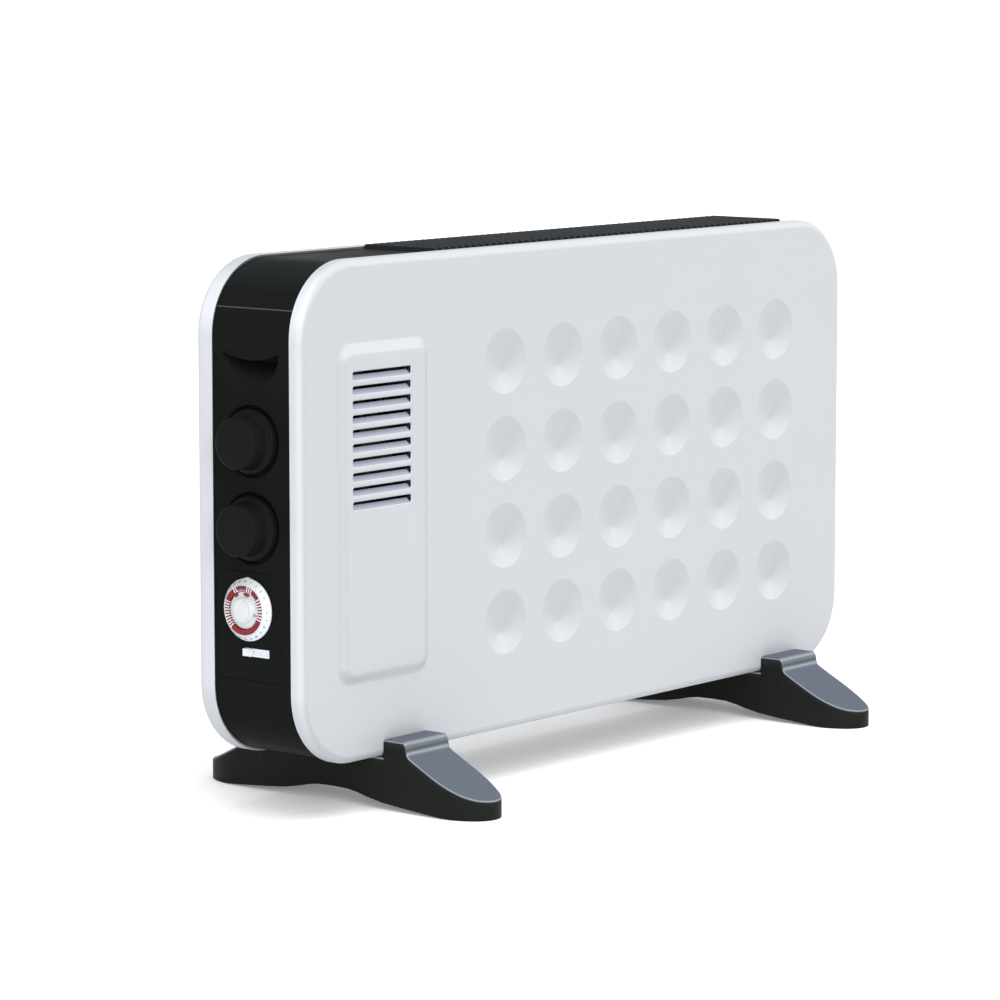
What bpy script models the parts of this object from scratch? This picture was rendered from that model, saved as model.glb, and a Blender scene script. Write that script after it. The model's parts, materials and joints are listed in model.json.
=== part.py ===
"""Free-standing fan convector heater: case, controls, fan, heating elements and feet.

Metres, +Z up. The floor is z = 0. The front faces -Y and the control side faces -X.
Everything but the feet is placed in the frame of the "case" empty: x across the width,
y through the depth, z up from the underside of the panels.
"""

import math

import bmesh
import bpy
from mathutils import Matrix, Vector

# Case
CASE_WIDTH = 0.560
CASE_HEIGHT = 0.305
CASE_DEPTH = 0.085
CORNER_RADIUS = 0.0465
CORNER_STEPS = 6
FRONT_RIM = 0.0095
REAR_RIM = 0.0137
EDGE_ROUND = 0.005
EDGE_STEPS = 3
SHEET = 0.002
CAP_WALL = 0.0022
BAND_INSET = 0.0015
GAP = 0.0003
FOOT_LIFT = 0.033

# Front panel: a grid of round dimples beside a raised pad with the air outlet slots
DIMPLE_RADIUS = 0.0208
DIMPLE_DEPTH = 0.0035
DIMPLE_SIDES = 12
DIMPLE_COLUMNS = 6
DIMPLE_ROWS = 4
DIMPLE_FIRST = (-0.088, 0.0690)
DIMPLE_PITCH = (0.0580, 0.0548)
DIMPLE_BEND = (0.6, 0.72)
PAD_LOW = (-0.2485, 0.0475)
PAD_HIGH = (-0.1630, 0.2555)
PAD_ROUND = 0.012
PAD_SLOPE = 0.008
PAD_RISE = 0.003
OUTLET_COUNT = 10
OUTLET_PITCH = 0.00872
OUTLET_HEIGHT = 0.005
OUTLET_X = (-0.2363, -0.1825)
OUTLET_FIRST_Z = 0.157
LOUVRE_MARGIN = (0.002, 0.0022)
LOUVRE_DEPTH = 0.0045
BLADE_CLIMB = 0.0036
BOSS_PLACES = [(-0.244, 0.046), (-0.244, 0.270), (0.244, 0.046), (0.244, 0.270)]
BOSS_RADIUS = 0.005
BOSS_BORE = 0.0018
BOSS_BORE_DEPTH = 0.030
PANEL_SCREW_HOLE = 0.0024
PANEL_SCREW_LENGTH = 0.020

# Band round the case: two end caps, the top grille and the base tray
TOP_CAP_END = -0.150
CORNER_END = 0.2315
BASE_END = 0.228
GRILLE_PITCH = 0.0066
GRILLE_SLOT = 0.0040
GRILLE_THICKNESS = 0.004
GRILLE_RAIL = 0.003
BASE_THICKNESS = 0.0025
BASE_SLOT_PITCH = 0.016
BASE_SLOT_COUNT = 20
BASE_SLOT_WIDTH = 0.006
BASE_SLOT_Y = (-0.022, 0.020)
BASE_SLOT_MIDDLE = 0.011
REAR_SLOT_PITCH = 0.013
REAR_SLOT_COUNT = 26
REAR_SLOT_WIDTH = 0.005
REAR_SLOT_Z = (0.020, 0.060)
REAR_SLOT_MIDDLE = 0.042
GLAND_PLACE = (-0.215, 0.030)
GLAND_HOLE = 0.0072
GLAND_BORE = 0.0038

# Controls on the -X side, centred on the middle of the depth
HANDLE_Z = 0.2498
HANDLE_RADIUS = 0.0224
HANDLE_SAG = 0.0045
HANDLE_DEPTH = 0.016
HANDLE_RISE = 0.009
HANDLE_TAPER = (0.82, 0.55)
THERMOSTAT_Z = 0.1968
SELECTOR_Z = 0.1445
CONTROL_FRONT = 0.0062
CONTROL_BACK = 0.028
WELL_RADIUS = 0.0222
WELL_DEPTH = 0.0035
SPINDLE_HOLE = 0.0042
KNOB_REACH = 0.015
KNOB_SKIRT = 0.0195
KNOB_CAP = 0.0165
SPINDLE_RADIUS = 0.003
SPINDLE_PLAY = 0.0004
TIMER_Y = 0.002
TIMER_Z = 0.0954
DIAL_RADIUS = 0.0192
DIAL_TROUGH = 0.0147
DIAL_CREST = 0.0055
DIAL_SLEEVE = (0.0028, 0.0044)
FASCIA_Z = (0.0520, 0.1180)
FASCIA_WIDTH = 0.051
FASCIA_PROUD = 0.0004
FASCIA_HOLE = 0.0048
SWITCH_Y = (-0.0143, 0.0055)
SWITCH_Z = (0.0668, 0.0723)
SLIDER_LENGTH = 0.0066

# Fan behind the outlet slots
FAN_X = -0.2025
FAN_Z = 0.197
FAN_FRAME = 0.088
FAN_BORE = 0.0415
BLADE_COUNT = 7
BLADE_PITCH = 52
BLADE_Y = -0.0222
SHAFT_RADIUS = 0.002
SHAFT_PLAY = 0.0005

# Heating chamber
PARTITION_X = -0.1515
PLATE = 0.0015
BRACKET_X = 0.2310
ELEMENTS = {"lower": (-0.012, 0.060), "upper": (0.010, 0.098)}
ELEMENT_FIN = 0.015
ELEMENT_CORE = 0.005
STUD_RADIUS = 0.002
BUSH_HOLE = 0.0066
BUSH_REACH = 0.0042
CUTOUT_Z = 0.150

# Supply
TERMINAL_LOW = (-0.235, 0.006, 0.0043)
TERMINAL_HIGH = (-0.205, 0.022, 0.018)
WIRE_RADIUS = 0.0012

# Feet: a cradle under the case with a sloping toe in front and behind
FOOT_X = (-0.186, 0.209)
FOOT_WIDTH = 0.041
FOOT_HALF_LENGTH = 0.1135
TOE_LENGTH = 0.030
TOE_HEIGHT = 0.0125
BLOCK_TOP = 0.044
FOOT_SCREW_Y = 0.018
FOOT_SCREW_HEAD = 0.0170
FOOT_SCREW_HOLE = 0.0025

# The controls stand on the line y = 0, which runs 1 mm before the middle of the depth
CASE_X = (KNOB_REACH - BAND_INSET) / 2
FRONT = 0.001 - CASE_DEPTH / 2
REAR = FRONT + CASE_DEPTH
BAND_FRONT = FRONT + FRONT_RIM + GAP
BAND_REAR = REAR - REAR_RIM - GAP
BAND_SIDE = -CASE_WIDTH / 2 + BAND_INSET
BAND_TOP = CASE_HEIGHT - BAND_INSET

WHITE = (0.82, 0.83, 0.86)
BLACK = (0.018, 0.02, 0.021)
SLATE = (0.06, 0.07, 0.08)
RED = (0.45, 0.02, 0.03)
STEEL = (0.55, 0.55, 0.56)
CERAMIC = (0.75, 0.72, 0.66)
COPPER = (0.6, 0.28, 0.12)


def clear_scene():
    for old in list(bpy.data.objects):
        bpy.data.objects.remove(old, do_unlink=True)


def paint(name, colour, roughness, metallic=0.0):
    """A Principled material with the sub-part's own colour and finish."""
    material = bpy.data.materials.new(name)
    material.use_nodes = True
    shader = material.node_tree.nodes["Principled BSDF"]
    shader.inputs["Base Color"].default_value = (*colour, 1.0)
    shader.inputs["Roughness"].default_value = roughness
    shader.inputs["Metallic"].default_value = metallic
    return material


def plastic(name, colour, roughness=0.35):
    return paint(name, colour, roughness)


def metal(name, colour=STEEL, roughness=0.3):
    return paint(name, colour, roughness, 1.0)


def finish(name, bm, material, place=(0, 0, 0), parent=None, outward=None):
    """Turns a bmesh into a named object, faces out, round faces smooth and real edges sharp.

    An open sheet passes outward: the direction that its largest face looks in.
    """
    bmesh.ops.recalc_face_normals(bm, faces=bm.faces)
    if outward:
        largest = max(bm.faces, key=lambda face: face.calc_area())
        if largest.normal.dot(Vector(outward)) < 0:
            bmesh.ops.reverse_faces(bm, faces=bm.faces)
    mesh = bpy.data.meshes.new(name)
    bm.to_mesh(mesh)
    bm.free()
    mesh.shade_smooth()
    mesh.set_sharp_from_angle(angle=math.radians(35))
    mesh.materials.append(material)
    obj = bpy.data.objects.new(name, mesh)
    obj.location = place
    obj.parent = parent
    bpy.context.scene.collection.objects.link(obj)
    return obj


def helper(name, bm, parent=None, place=(0, 0, 0)):
    """A cutter or another shape for a Boolean: never a part of the heater."""
    obj = finish(name, bm, None, place, parent)
    obj.hide_render = True
    obj.display_type = "WIRE"
    return obj


def combine(target, other, operation):
    modifier = target.modifiers.new(operation.title(), "BOOLEAN")
    modifier.operation = operation
    modifier.object = other
    modifier.solver = "EXACT"


def solidify(obj, thickness):
    """Gives an open sheet its wall, on the side away from its faces."""
    modifier = obj.modifiers.new("Wall", "SOLIDIFY")
    modifier.thickness = thickness
    modifier.offset = -1.0
    modifier.use_even_offset = True


def add_box(bm, low, high):
    low, high = Vector(low), Vector(high)
    size = Matrix.Diagonal((*(high - low), 1.0))
    bmesh.ops.create_cube(bm, size=1.0, matrix=Matrix.Translation((low + high) / 2) @ size)


def box_mesh(low, high):
    bm = bmesh.new()
    add_box(bm, low, high)
    return bm


def along(axis, distance, a, b):
    """A point at distance along one axis, with a and b on the other two in X, Y, Z order."""
    if axis == "X":
        return Vector((distance, a, b))
    if axis == "Y":
        return Vector((a, distance, b))
    return Vector((a, b, distance))


def add_ring(bm, outline, axis, distance):
    return [bm.verts.new(along(axis, distance, a, b)) for a, b in outline]


def bridge(bm, first, second):
    """Quads between two closed rings with the same number of points."""
    count = len(first)
    for i in range(count):
        j = (i + 1) % count
        bm.faces.new((first[i], first[j], second[j], second[i]))


def add_prism(bm, outline, axis, start, end):
    first = add_ring(bm, outline, axis, start)
    second = add_ring(bm, outline, axis, end)
    bridge(bm, first, second)
    bm.faces.new(first)
    bm.faces.new(second)


def prism_mesh(outline, axis, start, end):
    bm = bmesh.new()
    add_prism(bm, outline, axis, start, end)
    return bm


def fill_flat(bm, loops):
    """Faces over a flat outline, the first loop, with the other loops left as holes."""
    edges = []
    for loop in loops:
        for i, vert in enumerate(loop):
            after = loop[(i + 1) % len(loop)]
            edges.append(bm.edges.get((vert, after)) or bm.edges.new((vert, after)))
    bmesh.ops.triangle_fill(bm, use_beauty=True, use_dissolve=False, edges=edges)


def circle(centre, radius, sides, turn=0.5):
    """Points of a polygon round a circle, counter-clockwise."""
    step = 2 * math.pi / sides
    angles = [step * (i + turn) for i in range(sides)]
    return [(centre[0] + radius * math.cos(a), centre[1] + radius * math.sin(a)) for a in angles]


def arc(centre, radius, start, stop, steps):
    """Points along an arc in degrees, both ends included."""
    angles = [math.radians(start + (stop - start) * i / steps) for i in range(steps + 1)]
    return [(centre[0] + radius * math.cos(a), centre[1] + radius * math.sin(a)) for a in angles]


def rectangle(low, high):
    return [(low[0], low[1]), (high[0], low[1]), (high[0], high[1]), (low[0], high[1])]


def rounded_rectangle(low, high, radius, steps):
    left, bottom = low[0] + radius, low[1] + radius
    right, top = high[0] - radius, high[1] - radius
    outline = arc((right, top), radius, 0, 90, steps)
    outline += arc((left, top), radius, 90, 180, steps)
    outline += arc((left, bottom), radius, 180, 270, steps)
    outline += arc((right, bottom), radius, 270, 360, steps)
    return outline


def turned(profile, axis, centre, sides, closed=False):
    """A solid of revolution. profile holds (radius, distance along the axis) points.

    An open profile starts and ends on the axis; a closed one is the section of a ring.
    """
    bm = bmesh.new()
    rings = []
    for radius, distance in profile:
        if radius == 0:
            rings.append([bm.verts.new(along(axis, distance, *centre))])
        else:
            rings.append(add_ring(bm, circle(centre, radius, sides), axis, distance))
    pairs = list(zip(rings, rings[1:]))
    if closed:
        pairs.append((rings[-1], rings[0]))
    for first, second in pairs:
        if len(first) == len(second):
            bridge(bm, first, second)
            continue
        pole, rim = (first, second) if len(first) == 1 else (second, first)
        for i in range(sides):
            bm.faces.new((pole[0], rim[i], rim[(i + 1) % sides]))
    return bm


def outwards(distance):
    """The x of a point this far out of the control side's face; negative is inside the case."""
    return BAND_SIDE - distance


# Panels


def panel_rings(bm, face_y, inward, rim_depth):
    """The rim and rounded edge of a shallow tray; returns the ring round its flat face."""
    half = CASE_WIDTH / 2
    stations = [(rim_depth, 0.0)]
    for i in range(EDGE_STEPS + 1):
        angle = math.pi / 2 * i / EDGE_STEPS
        stations.append((EDGE_ROUND * (1 - math.sin(angle)), EDGE_ROUND * (1 - math.cos(angle))))
    rings = []
    for depth, inset in stations:
        low = (-half + inset, inset)
        high = (half - inset, CASE_HEIGHT - inset)
        outline = rounded_rectangle(low, high, CORNER_RADIUS - inset, CORNER_STEPS)
        rings.append(add_ring(bm, outline, "Y", face_y + inward * depth))
    for first, second in zip(rings, rings[1:]):
        bridge(bm, first, second)
    return rings[-1]


def add_dimple(bm, centre):
    """A round dish in the front face; returns its edge loop."""
    share, depth = DIMPLE_BEND
    edge = add_ring(bm, circle(centre, DIMPLE_RADIUS, DIMPLE_SIDES), "Y", FRONT)
    inner = circle(centre, DIMPLE_RADIUS * share, DIMPLE_SIDES)
    middle = add_ring(bm, inner, "Y", FRONT + DIMPLE_DEPTH * depth)
    bridge(bm, edge, middle)
    bottom = bm.verts.new((centre[0], FRONT + DIMPLE_DEPTH, centre[1]))
    for i in range(DIMPLE_SIDES):
        bm.faces.new((middle[i], middle[(i + 1) % DIMPLE_SIDES], bottom))
    return edge


def outlet_slot(index):
    """Low and high corner of one outlet slot, counted from the bottom."""
    middle = OUTLET_FIRST_Z + index * OUTLET_PITCH
    low = (OUTLET_X[0], middle - OUTLET_HEIGHT / 2)
    high = (OUTLET_X[1], middle + OUTLET_HEIGHT / 2)
    return low, high


def add_pad(bm):
    """The raised pad with its slots; returns the loop where it meets the flat face."""
    foot = add_ring(bm, rounded_rectangle(PAD_LOW, PAD_HIGH, PAD_ROUND, 4), "Y", FRONT)
    low = (PAD_LOW[0] + PAD_SLOPE, PAD_LOW[1] + PAD_SLOPE)
    high = (PAD_HIGH[0] - PAD_SLOPE, PAD_HIGH[1] - PAD_SLOPE)
    crest_y = FRONT - PAD_RISE
    crest = add_ring(bm, rounded_rectangle(low, high, PAD_ROUND - PAD_SLOPE, 4), "Y", crest_y)
    bridge(bm, foot, crest)
    slots = [add_ring(bm, rectangle(*outlet_slot(i)), "Y", crest_y) for i in range(OUTLET_COUNT)]
    fill_flat(bm, [crest] + slots)
    return foot


def boss_mesh():
    """Screw bosses on the back of the front panel, which reach through to the rear panel."""
    bm = bmesh.new()
    for x, z in BOSS_PLACES:
        outer = circle((x, z), BOSS_RADIUS, 12)
        add_prism(bm, outer, "Y", FRONT + SHEET / 2, REAR - SHEET - GAP)
    return bm


def boss_bore_mesh():
    bm = bmesh.new()
    for x, z in BOSS_PLACES:
        add_prism(bm, circle((x, z), BOSS_BORE, 8), "Y", REAR - BOSS_BORE_DEPTH, REAR)
    return bm


def make_front_panel(case):
    bm = bmesh.new()
    loops = [panel_rings(bm, FRONT, 1, FRONT_RIM)]
    for column in range(DIMPLE_COLUMNS):
        for row in range(DIMPLE_ROWS):
            x = DIMPLE_FIRST[0] + column * DIMPLE_PITCH[0]
            z = DIMPLE_FIRST[1] + row * DIMPLE_PITCH[1]
            loops.append(add_dimple(bm, (x, z)))
    loops.append(add_pad(bm))
    fill_flat(bm, loops)
    panel = finish("front_panel", bm, plastic("panel_white", WHITE), parent=case, outward=(0, -1, 0))
    solidify(panel, SHEET)
    combine(panel, helper("boss_shape", boss_mesh(), case), "UNION")
    combine(panel, helper("boss_bore_cutter", boss_bore_mesh(), case), "DIFFERENCE")


def make_rear_panel(case):
    bm = bmesh.new()
    loops = [panel_rings(bm, REAR, -1, REAR_RIM)]
    span = (REAR_SLOT_COUNT - 1) * REAR_SLOT_PITCH
    half = REAR_SLOT_WIDTH / 2
    for i in range(REAR_SLOT_COUNT):
        x = REAR_SLOT_MIDDLE - span / 2 + i * REAR_SLOT_PITCH
        slot = rectangle((x - half, REAR_SLOT_Z[0]), (x + half, REAR_SLOT_Z[1]))
        loops.append(add_ring(bm, slot, "Y", REAR))
    for place in BOSS_PLACES:
        loops.append(add_ring(bm, circle(place, PANEL_SCREW_HOLE, 8), "Y", REAR))
    loops.append(add_ring(bm, circle(GLAND_PLACE, GLAND_HOLE, 12), "Y", REAR))
    fill_flat(bm, loops)
    panel = finish("rear_panel", bm, plastic("rear_white", WHITE), parent=case, outward=(0, 1, 0))
    solidify(panel, SHEET)


def make_outlet_louvre(case):
    """Insert behind the outlet slots: slanted blades that turn the air upwards."""
    margin_x, margin_z = LOUVRE_MARGIN
    first, last = outlet_slot(0)[0], outlet_slot(OUTLET_COUNT - 1)[1]
    low = (first[0] - margin_x, FRONT - PAD_RISE + SHEET + GAP, first[1] - margin_z)
    high = (last[0] + margin_x, low[1] + LOUVRE_DEPTH, last[1] + margin_z)
    material = plastic("louvre_white", WHITE)
    louvre = finish("outlet_louvre", box_mesh(low, high), material, parent=case)
    cutter = bmesh.new()
    front, back, drop = low[1] - 0.001, high[1] + 0.001, 0.0005
    for i in range(OUTLET_COUNT):
        slot_low, slot_high = outlet_slot(i)
        section = [
            (front, slot_low[1] - drop),
            (front, slot_high[1] - drop),
            (back, slot_high[1] + BLADE_CLIMB - drop),
            (back, slot_low[1] + BLADE_CLIMB - drop),
        ]
        add_prism(cutter, section, "X", slot_low[0] + GAP, slot_high[0] - GAP)
    combine(louvre, helper("louvre_cutter", cutter, case), "DIFFERENCE")


# Band


def handle_outline():
    """The smile-shaped mouth of the finger recess, counter-clockwise from its right corner."""
    count = 4
    top = []
    for i in range(1, count):
        y = HANDLE_RADIUS * (1 - 2 * i / count)
        top.append((y, HANDLE_Z - HANDLE_SAG * (1 - (y / HANDLE_RADIUS) ** 2)))
    return top + arc((0, HANDLE_Z), HANDLE_RADIUS, 180, 360, 9)


def add_handle(bm, side):
    """A finger recess that slopes in and up behind the wall; returns its mouth loop."""
    mouth = handle_outline()
    inner = []
    for y, z in mouth:
        height = HANDLE_Z + HANDLE_RISE + (z - HANDLE_Z) * HANDLE_TAPER[1]
        inner.append((y * HANDLE_TAPER[0], height))
    depth_x = side * (CASE_WIDTH / 2 - BAND_INSET - HANDLE_DEPTH)
    outer_ring = add_ring(bm, mouth, "X", side * (CASE_WIDTH / 2 - BAND_INSET))
    inner_ring = add_ring(bm, inner, "X", depth_x)
    bridge(bm, outer_ring, inner_ring)
    bm.faces.new(inner_ring)
    return outer_ring


def add_well(bm, z):
    """A round well for a knob, with a hole for the spindle in its floor."""
    mouth = add_ring(bm, circle((0, z), WELL_RADIUS, 16), "X", outwards(0))
    floor = add_ring(bm, circle((0, z), WELL_RADIUS - 0.0018, 16), "X", outwards(-WELL_DEPTH))
    bridge(bm, mouth, floor)
    hole = add_ring(bm, circle((0, z), SPINDLE_HOLE, 8), "X", outwards(-WELL_DEPTH))
    fill_flat(bm, [floor, hole])
    return mouth


def band_path(side, top_end, base_end):
    """Points of an end cap's section, from the top to the underside, with the flat side between.

    Returns the stretch above the flat side and the stretch below it.
    """
    radius = CORNER_RADIUS - BAND_INSET
    x = CASE_WIDTH / 2 - CORNER_RADIUS
    upper_arc = arc((x, CASE_HEIGHT - CORNER_RADIUS), radius, 90, 0, CORNER_STEPS)
    lower_arc = arc((x, CORNER_RADIUS), radius, 0, -90, CORNER_STEPS)
    upper = [(top_end, BAND_TOP)] + [(side * a, b) for a, b in upper_arc]
    lower = [(side * a, b) for a, b in lower_arc] + [(side * base_end, BAND_INSET)]
    return upper, lower


def add_strip(bm, path):
    """A strip across the band along a path; returns its two edges."""
    front = [bm.verts.new((x, BAND_FRONT, z)) for x, z in path]
    rear = [bm.verts.new((x, BAND_REAR, z)) for x, z in path]
    for i in range(len(path) - 1):
        bm.faces.new((front[i], front[i + 1], rear[i + 1], rear[i]))
    return front, rear


def end_cap(name, side, top_end, add_openings, case):
    """One black end of the case: wraps the corner onto the top and the underside."""
    bm = bmesh.new()
    upper, lower = band_path(side, top_end, BASE_END + GAP)
    upper_front, upper_rear = add_strip(bm, upper)
    lower_front, lower_rear = add_strip(bm, lower)
    outline = [upper_front[-1], upper_rear[-1], lower_rear[0], lower_front[0]]
    fill_flat(bm, [outline] + add_openings(bm))
    cap = finish(name, bm, plastic(name + "_black", BLACK, 0.3), parent=case, outward=(side, 0, 0))
    solidify(cap, CAP_WALL)


def control_openings(bm):
    half = FASCIA_WIDTH / 2
    low, high = (TIMER_Y - half, FASCIA_Z[0]), (TIMER_Y + half, FASCIA_Z[1])
    window = rounded_rectangle(low, high, 0.004, 3)
    return [
        add_handle(bm, -1),
        add_well(bm, THERMOSTAT_Z),
        add_well(bm, SELECTOR_Z),
        add_ring(bm, window, "X", outwards(0)),
    ]


def plain_openings(bm):
    return [add_handle(bm, 1)]


def make_top_grille(case):
    """Outlet grille: cross ribs over the heating chamber."""
    low = (TOP_CAP_END + GAP, BAND_FRONT, CASE_HEIGHT - GRILLE_THICKNESS)
    high = (CORNER_END - GAP, BAND_REAR, CASE_HEIGHT)
    grille = finish("top_grille", box_mesh(low, high), plastic("grille_black", BLACK, 0.4), parent=case)
    count = int((high[0] - low[0] - 2 * GRILLE_RAIL) / GRILLE_PITCH)
    start = (low[0] + high[0] - (count - 1) * GRILLE_PITCH) / 2
    cutter = bmesh.new()
    for i in range(count):
        x = start + i * GRILLE_PITCH
        slot_low = (x - GRILLE_SLOT / 2, low[1] + GRILLE_RAIL, low[2] - 0.001)
        slot_high = (x + GRILLE_SLOT / 2, high[1] - GRILLE_RAIL, high[2] + 0.001)
        add_box(cutter, slot_low, slot_high)
    combine(grille, helper("grille_cutter", cutter, case), "DIFFERENCE")


def make_base_tray(case):
    """Underside of the case, with the air inlet slots and the foot screws' holes."""
    low = (-BASE_END, BAND_FRONT, BAND_INSET)
    high = (BASE_END, BAND_REAR, BAND_INSET + BASE_THICKNESS)
    tray = finish("base_tray", box_mesh(low, high), plastic("base_black", BLACK, 0.4), parent=case)
    cutter = bmesh.new()
    bottom, top, half = low[2] - 0.001, high[2] + 0.001, BASE_SLOT_WIDTH / 2
    for i in range(BASE_SLOT_COUNT):
        x = BASE_SLOT_MIDDLE + (i - (BASE_SLOT_COUNT - 1) / 2) * BASE_SLOT_PITCH
        add_box(cutter, (x - half, BASE_SLOT_Y[0], bottom), (x + half, BASE_SLOT_Y[1], top))
    for foot_x in FOOT_X:
        for y in (-FOOT_SCREW_Y, FOOT_SCREW_Y):
            add_prism(cutter, circle((foot_x, y), FOOT_SCREW_HOLE, 8), "Z", bottom, top)
    combine(tray, helper("base_cutter", cutter, case), "DIFFERENCE")


# Controls


def make_knob(name, z, case):
    """A stepped round knob on its spindle; its origin is on the spindle's axis."""
    back = -WELL_DEPTH + 0.0005
    bore, bore_depth = SPINDLE_RADIUS + SPINDLE_PLAY, 0.008
    profile = [
        (0, KNOB_REACH),
        (KNOB_CAP - 0.0013, KNOB_REACH),
        (KNOB_CAP - 0.0003, KNOB_REACH - 0.001),
        (KNOB_CAP + 0.0003, 0.0025),
        (KNOB_SKIRT, 0.0015),
        (KNOB_SKIRT, back),
        (bore, back),
        (bore, bore_depth),
        (0, bore_depth),
    ]
    profile = [(radius, -distance) for radius, distance in profile]
    bm = turned(profile, "X", (0, 0), 16)
    finish(name, bm, plastic(name + "_black", BLACK, 0.3), (BAND_SIDE, 0, z), case)


def make_spindle(name, z, case):
    """A steel spindle from inside the switch body to inside the knob."""
    inner, outer = 0.0155, -0.0075
    profile = [(0, inner), (SPINDLE_RADIUS, inner), (SPINDLE_RADIUS, outer), (0, outer)]
    bm = turned(profile, "X", (0, 0), 16)
    finish(name, bm, metal(name + "_steel"), (BAND_SIDE, 0, z), case)


def make_thermostat(case):
    """Round capillary thermostat with a bore for its spindle."""
    bore, radius, depth = SPINDLE_RADIUS + SPINDLE_PLAY, 0.014, 0.016
    front, back = CONTROL_FRONT, CONTROL_BACK
    profile = [(0, depth), (bore, depth), (bore, front), (radius, front), (radius, back), (0, back)]
    bm = turned(profile, "X", (0, 0), 16)
    finish("thermostat_body", bm, metal("thermostat_steel"), (BAND_SIDE, 0, THERMOSTAT_Z), case)
    make_spindle("thermostat_spindle", THERMOSTAT_Z, case)
    make_knob("thermostat_knob", THERMOSTAT_Z, case)


def make_selector(case):
    """Rotary heat and fan selector switch, in a square case."""
    bm = box_mesh((CONTROL_FRONT, -0.015, -0.015), (CONTROL_BACK, 0.015, 0.015))
    place = (BAND_SIDE, 0, SELECTOR_Z)
    body = finish("selector_body", bm, plastic("selector_cream", CERAMIC), place, case)
    bore = prism_mesh(circle((0, 0), SPINDLE_RADIUS + SPINDLE_PLAY, 16), "X", 0.005, 0.016)
    combine(body, helper("selector_bore_cutter", bore, case, place), "DIFFERENCE")
    make_spindle("selector_spindle", SELECTOR_Z, case)
    make_knob("selector_knob", SELECTOR_Z, case)


def make_timer_fascia(case):
    """Plate round the timer, with holes for the dial's sleeve and the mode switch."""
    bm = bmesh.new()
    half = FASCIA_WIDTH / 2 - GAP
    low, high = (TIMER_Y - half, FASCIA_Z[0] + GAP), (TIMER_Y + half, FASCIA_Z[1] - GAP)
    outline = rounded_rectangle(low, high, 0.0037, 3)
    switch = rectangle((SWITCH_Y[0], SWITCH_Z[0]), (SWITCH_Y[1], SWITCH_Z[1]))
    hole = circle((TIMER_Y, TIMER_Z), FASCIA_HOLE, 12)
    loops = [add_ring(bm, points, "X", outwards(FASCIA_PROUD)) for points in (outline, hole, switch)]
    fill_flat(bm, loops)
    material = plastic("fascia_black", BLACK, 0.3)
    fascia = finish("timer_fascia", bm, material, parent=case, outward=(-1, 0, 0))
    solidify(fascia, SHEET)


def make_timer(case):
    """The 24-hour timer: a dial and tappet ring that turn round a fixed hub, and the clockwork."""
    place = (BAND_SIDE, TIMER_Y, TIMER_Z)
    back, floor, tail = -0.0007, -0.0025, 0.0021
    inner, sleeve = DIAL_SLEEVE
    dial = [
        (DIAL_RADIUS, back),
        (DIAL_RADIUS, -DIAL_CREST + 0.0009),
        (DIAL_RADIUS - 0.0009, -DIAL_CREST),
        (DIAL_TROUGH, -DIAL_CREST),
        (DIAL_TROUGH, floor),
        (inner, floor),
        (inner, tail),
        (sleeve, tail),
        (sleeve, back),
    ]
    bm = turned(dial, "X", (0, 0), 24, closed=True)
    finish("timer_dial", bm, plastic("dial_white", WHITE), place, case)
    start, end = floor - GAP, -DIAL_CREST + GAP
    low, high = DIAL_TROUGH - 0.0033, DIAL_TROUGH - GAP
    segments = [(high, start), (high, end), (low, end), (low, start)]
    bm = turned(segments, "X", (0, 0), 24, closed=True)
    finish("timer_segment_ring", bm, plastic("segment_red", RED), place, case)
    radius, shaft, face = low - 0.0004, inner - 0.0004, -DIAL_CREST + 0.0005
    hub = [(0, face), (radius, face), (radius, start), (shaft, start), (shaft, tail), (0, tail)]
    finish("timer_hub", turned(hub, "X", (0, 0), 16), plastic("hub_white", WHITE), place, case)
    low = (BAND_SIDE + 0.0025, -0.022, 0.062)
    high = (BAND_SIDE + CONTROL_BACK, 0.026, 0.117)
    finish("timer_case", box_mesh(low, high), plastic("timer_case_grey", SLATE), parent=case)
    start, end, radius = CONTROL_BACK + GAP, 0.041, 0.010
    motor = [(0, start), (radius, start), (radius, end), (0, end)]
    finish("timer_motor", turned(motor, "X", (0, 0), 12), metal("timer_motor_steel"), place, case)


def make_mode_switch(case):
    """Slide switch: a white plate in the fascia's slot, and the nub that slides along it."""
    low = (outwards(0.0002), SWITCH_Y[0] + GAP, SWITCH_Z[0] + GAP)
    high = (outwards(-0.0022), SWITCH_Y[1] - GAP, SWITCH_Z[1] - GAP)
    finish("mode_switch_plate", box_mesh(low, high), plastic("switch_white", WHITE), parent=case)
    half = (SLIDER_LENGTH / 2, (SWITCH_Z[1] - SWITCH_Z[0]) / 2 - 0.0005)
    bm = box_mesh((-0.00125, -half[0], -half[1]), (0.00125, half[0], half[1]))
    place = (outwards(0.00175), SWITCH_Y[1] - GAP - half[0], sum(SWITCH_Z) / 2)
    finish("mode_slider", bm, plastic("slider_white", WHITE), place, case)


# Fan


def make_fan_frame(case):
    half = FAN_FRAME / 2
    place = (FAN_X, 0, FAN_Z)
    bm = box_mesh((-half, -0.0335, -half), (half, -0.010, half))
    frame = finish("fan_shroud", bm, plastic("shroud_black", BLACK, 0.5), place, case)
    bore = prism_mesh(circle((0, 0), FAN_BORE, 20), "Y", -0.035, -0.008)
    combine(frame, helper("shroud_cutter", bore, case, place), "DIFFERENCE")
    bm = box_mesh((-half, -0.0097, -0.008), (half, -0.0077, 0.008))
    bracket = finish("fan_bracket", bm, metal("fan_bracket_steel"), place, case)
    hole = prism_mesh(circle((0, 0), 0.004, 12), "Y", -0.011, -0.006)
    combine(bracket, helper("bracket_cutter", hole, case, place), "DIFFERENCE")


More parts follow.
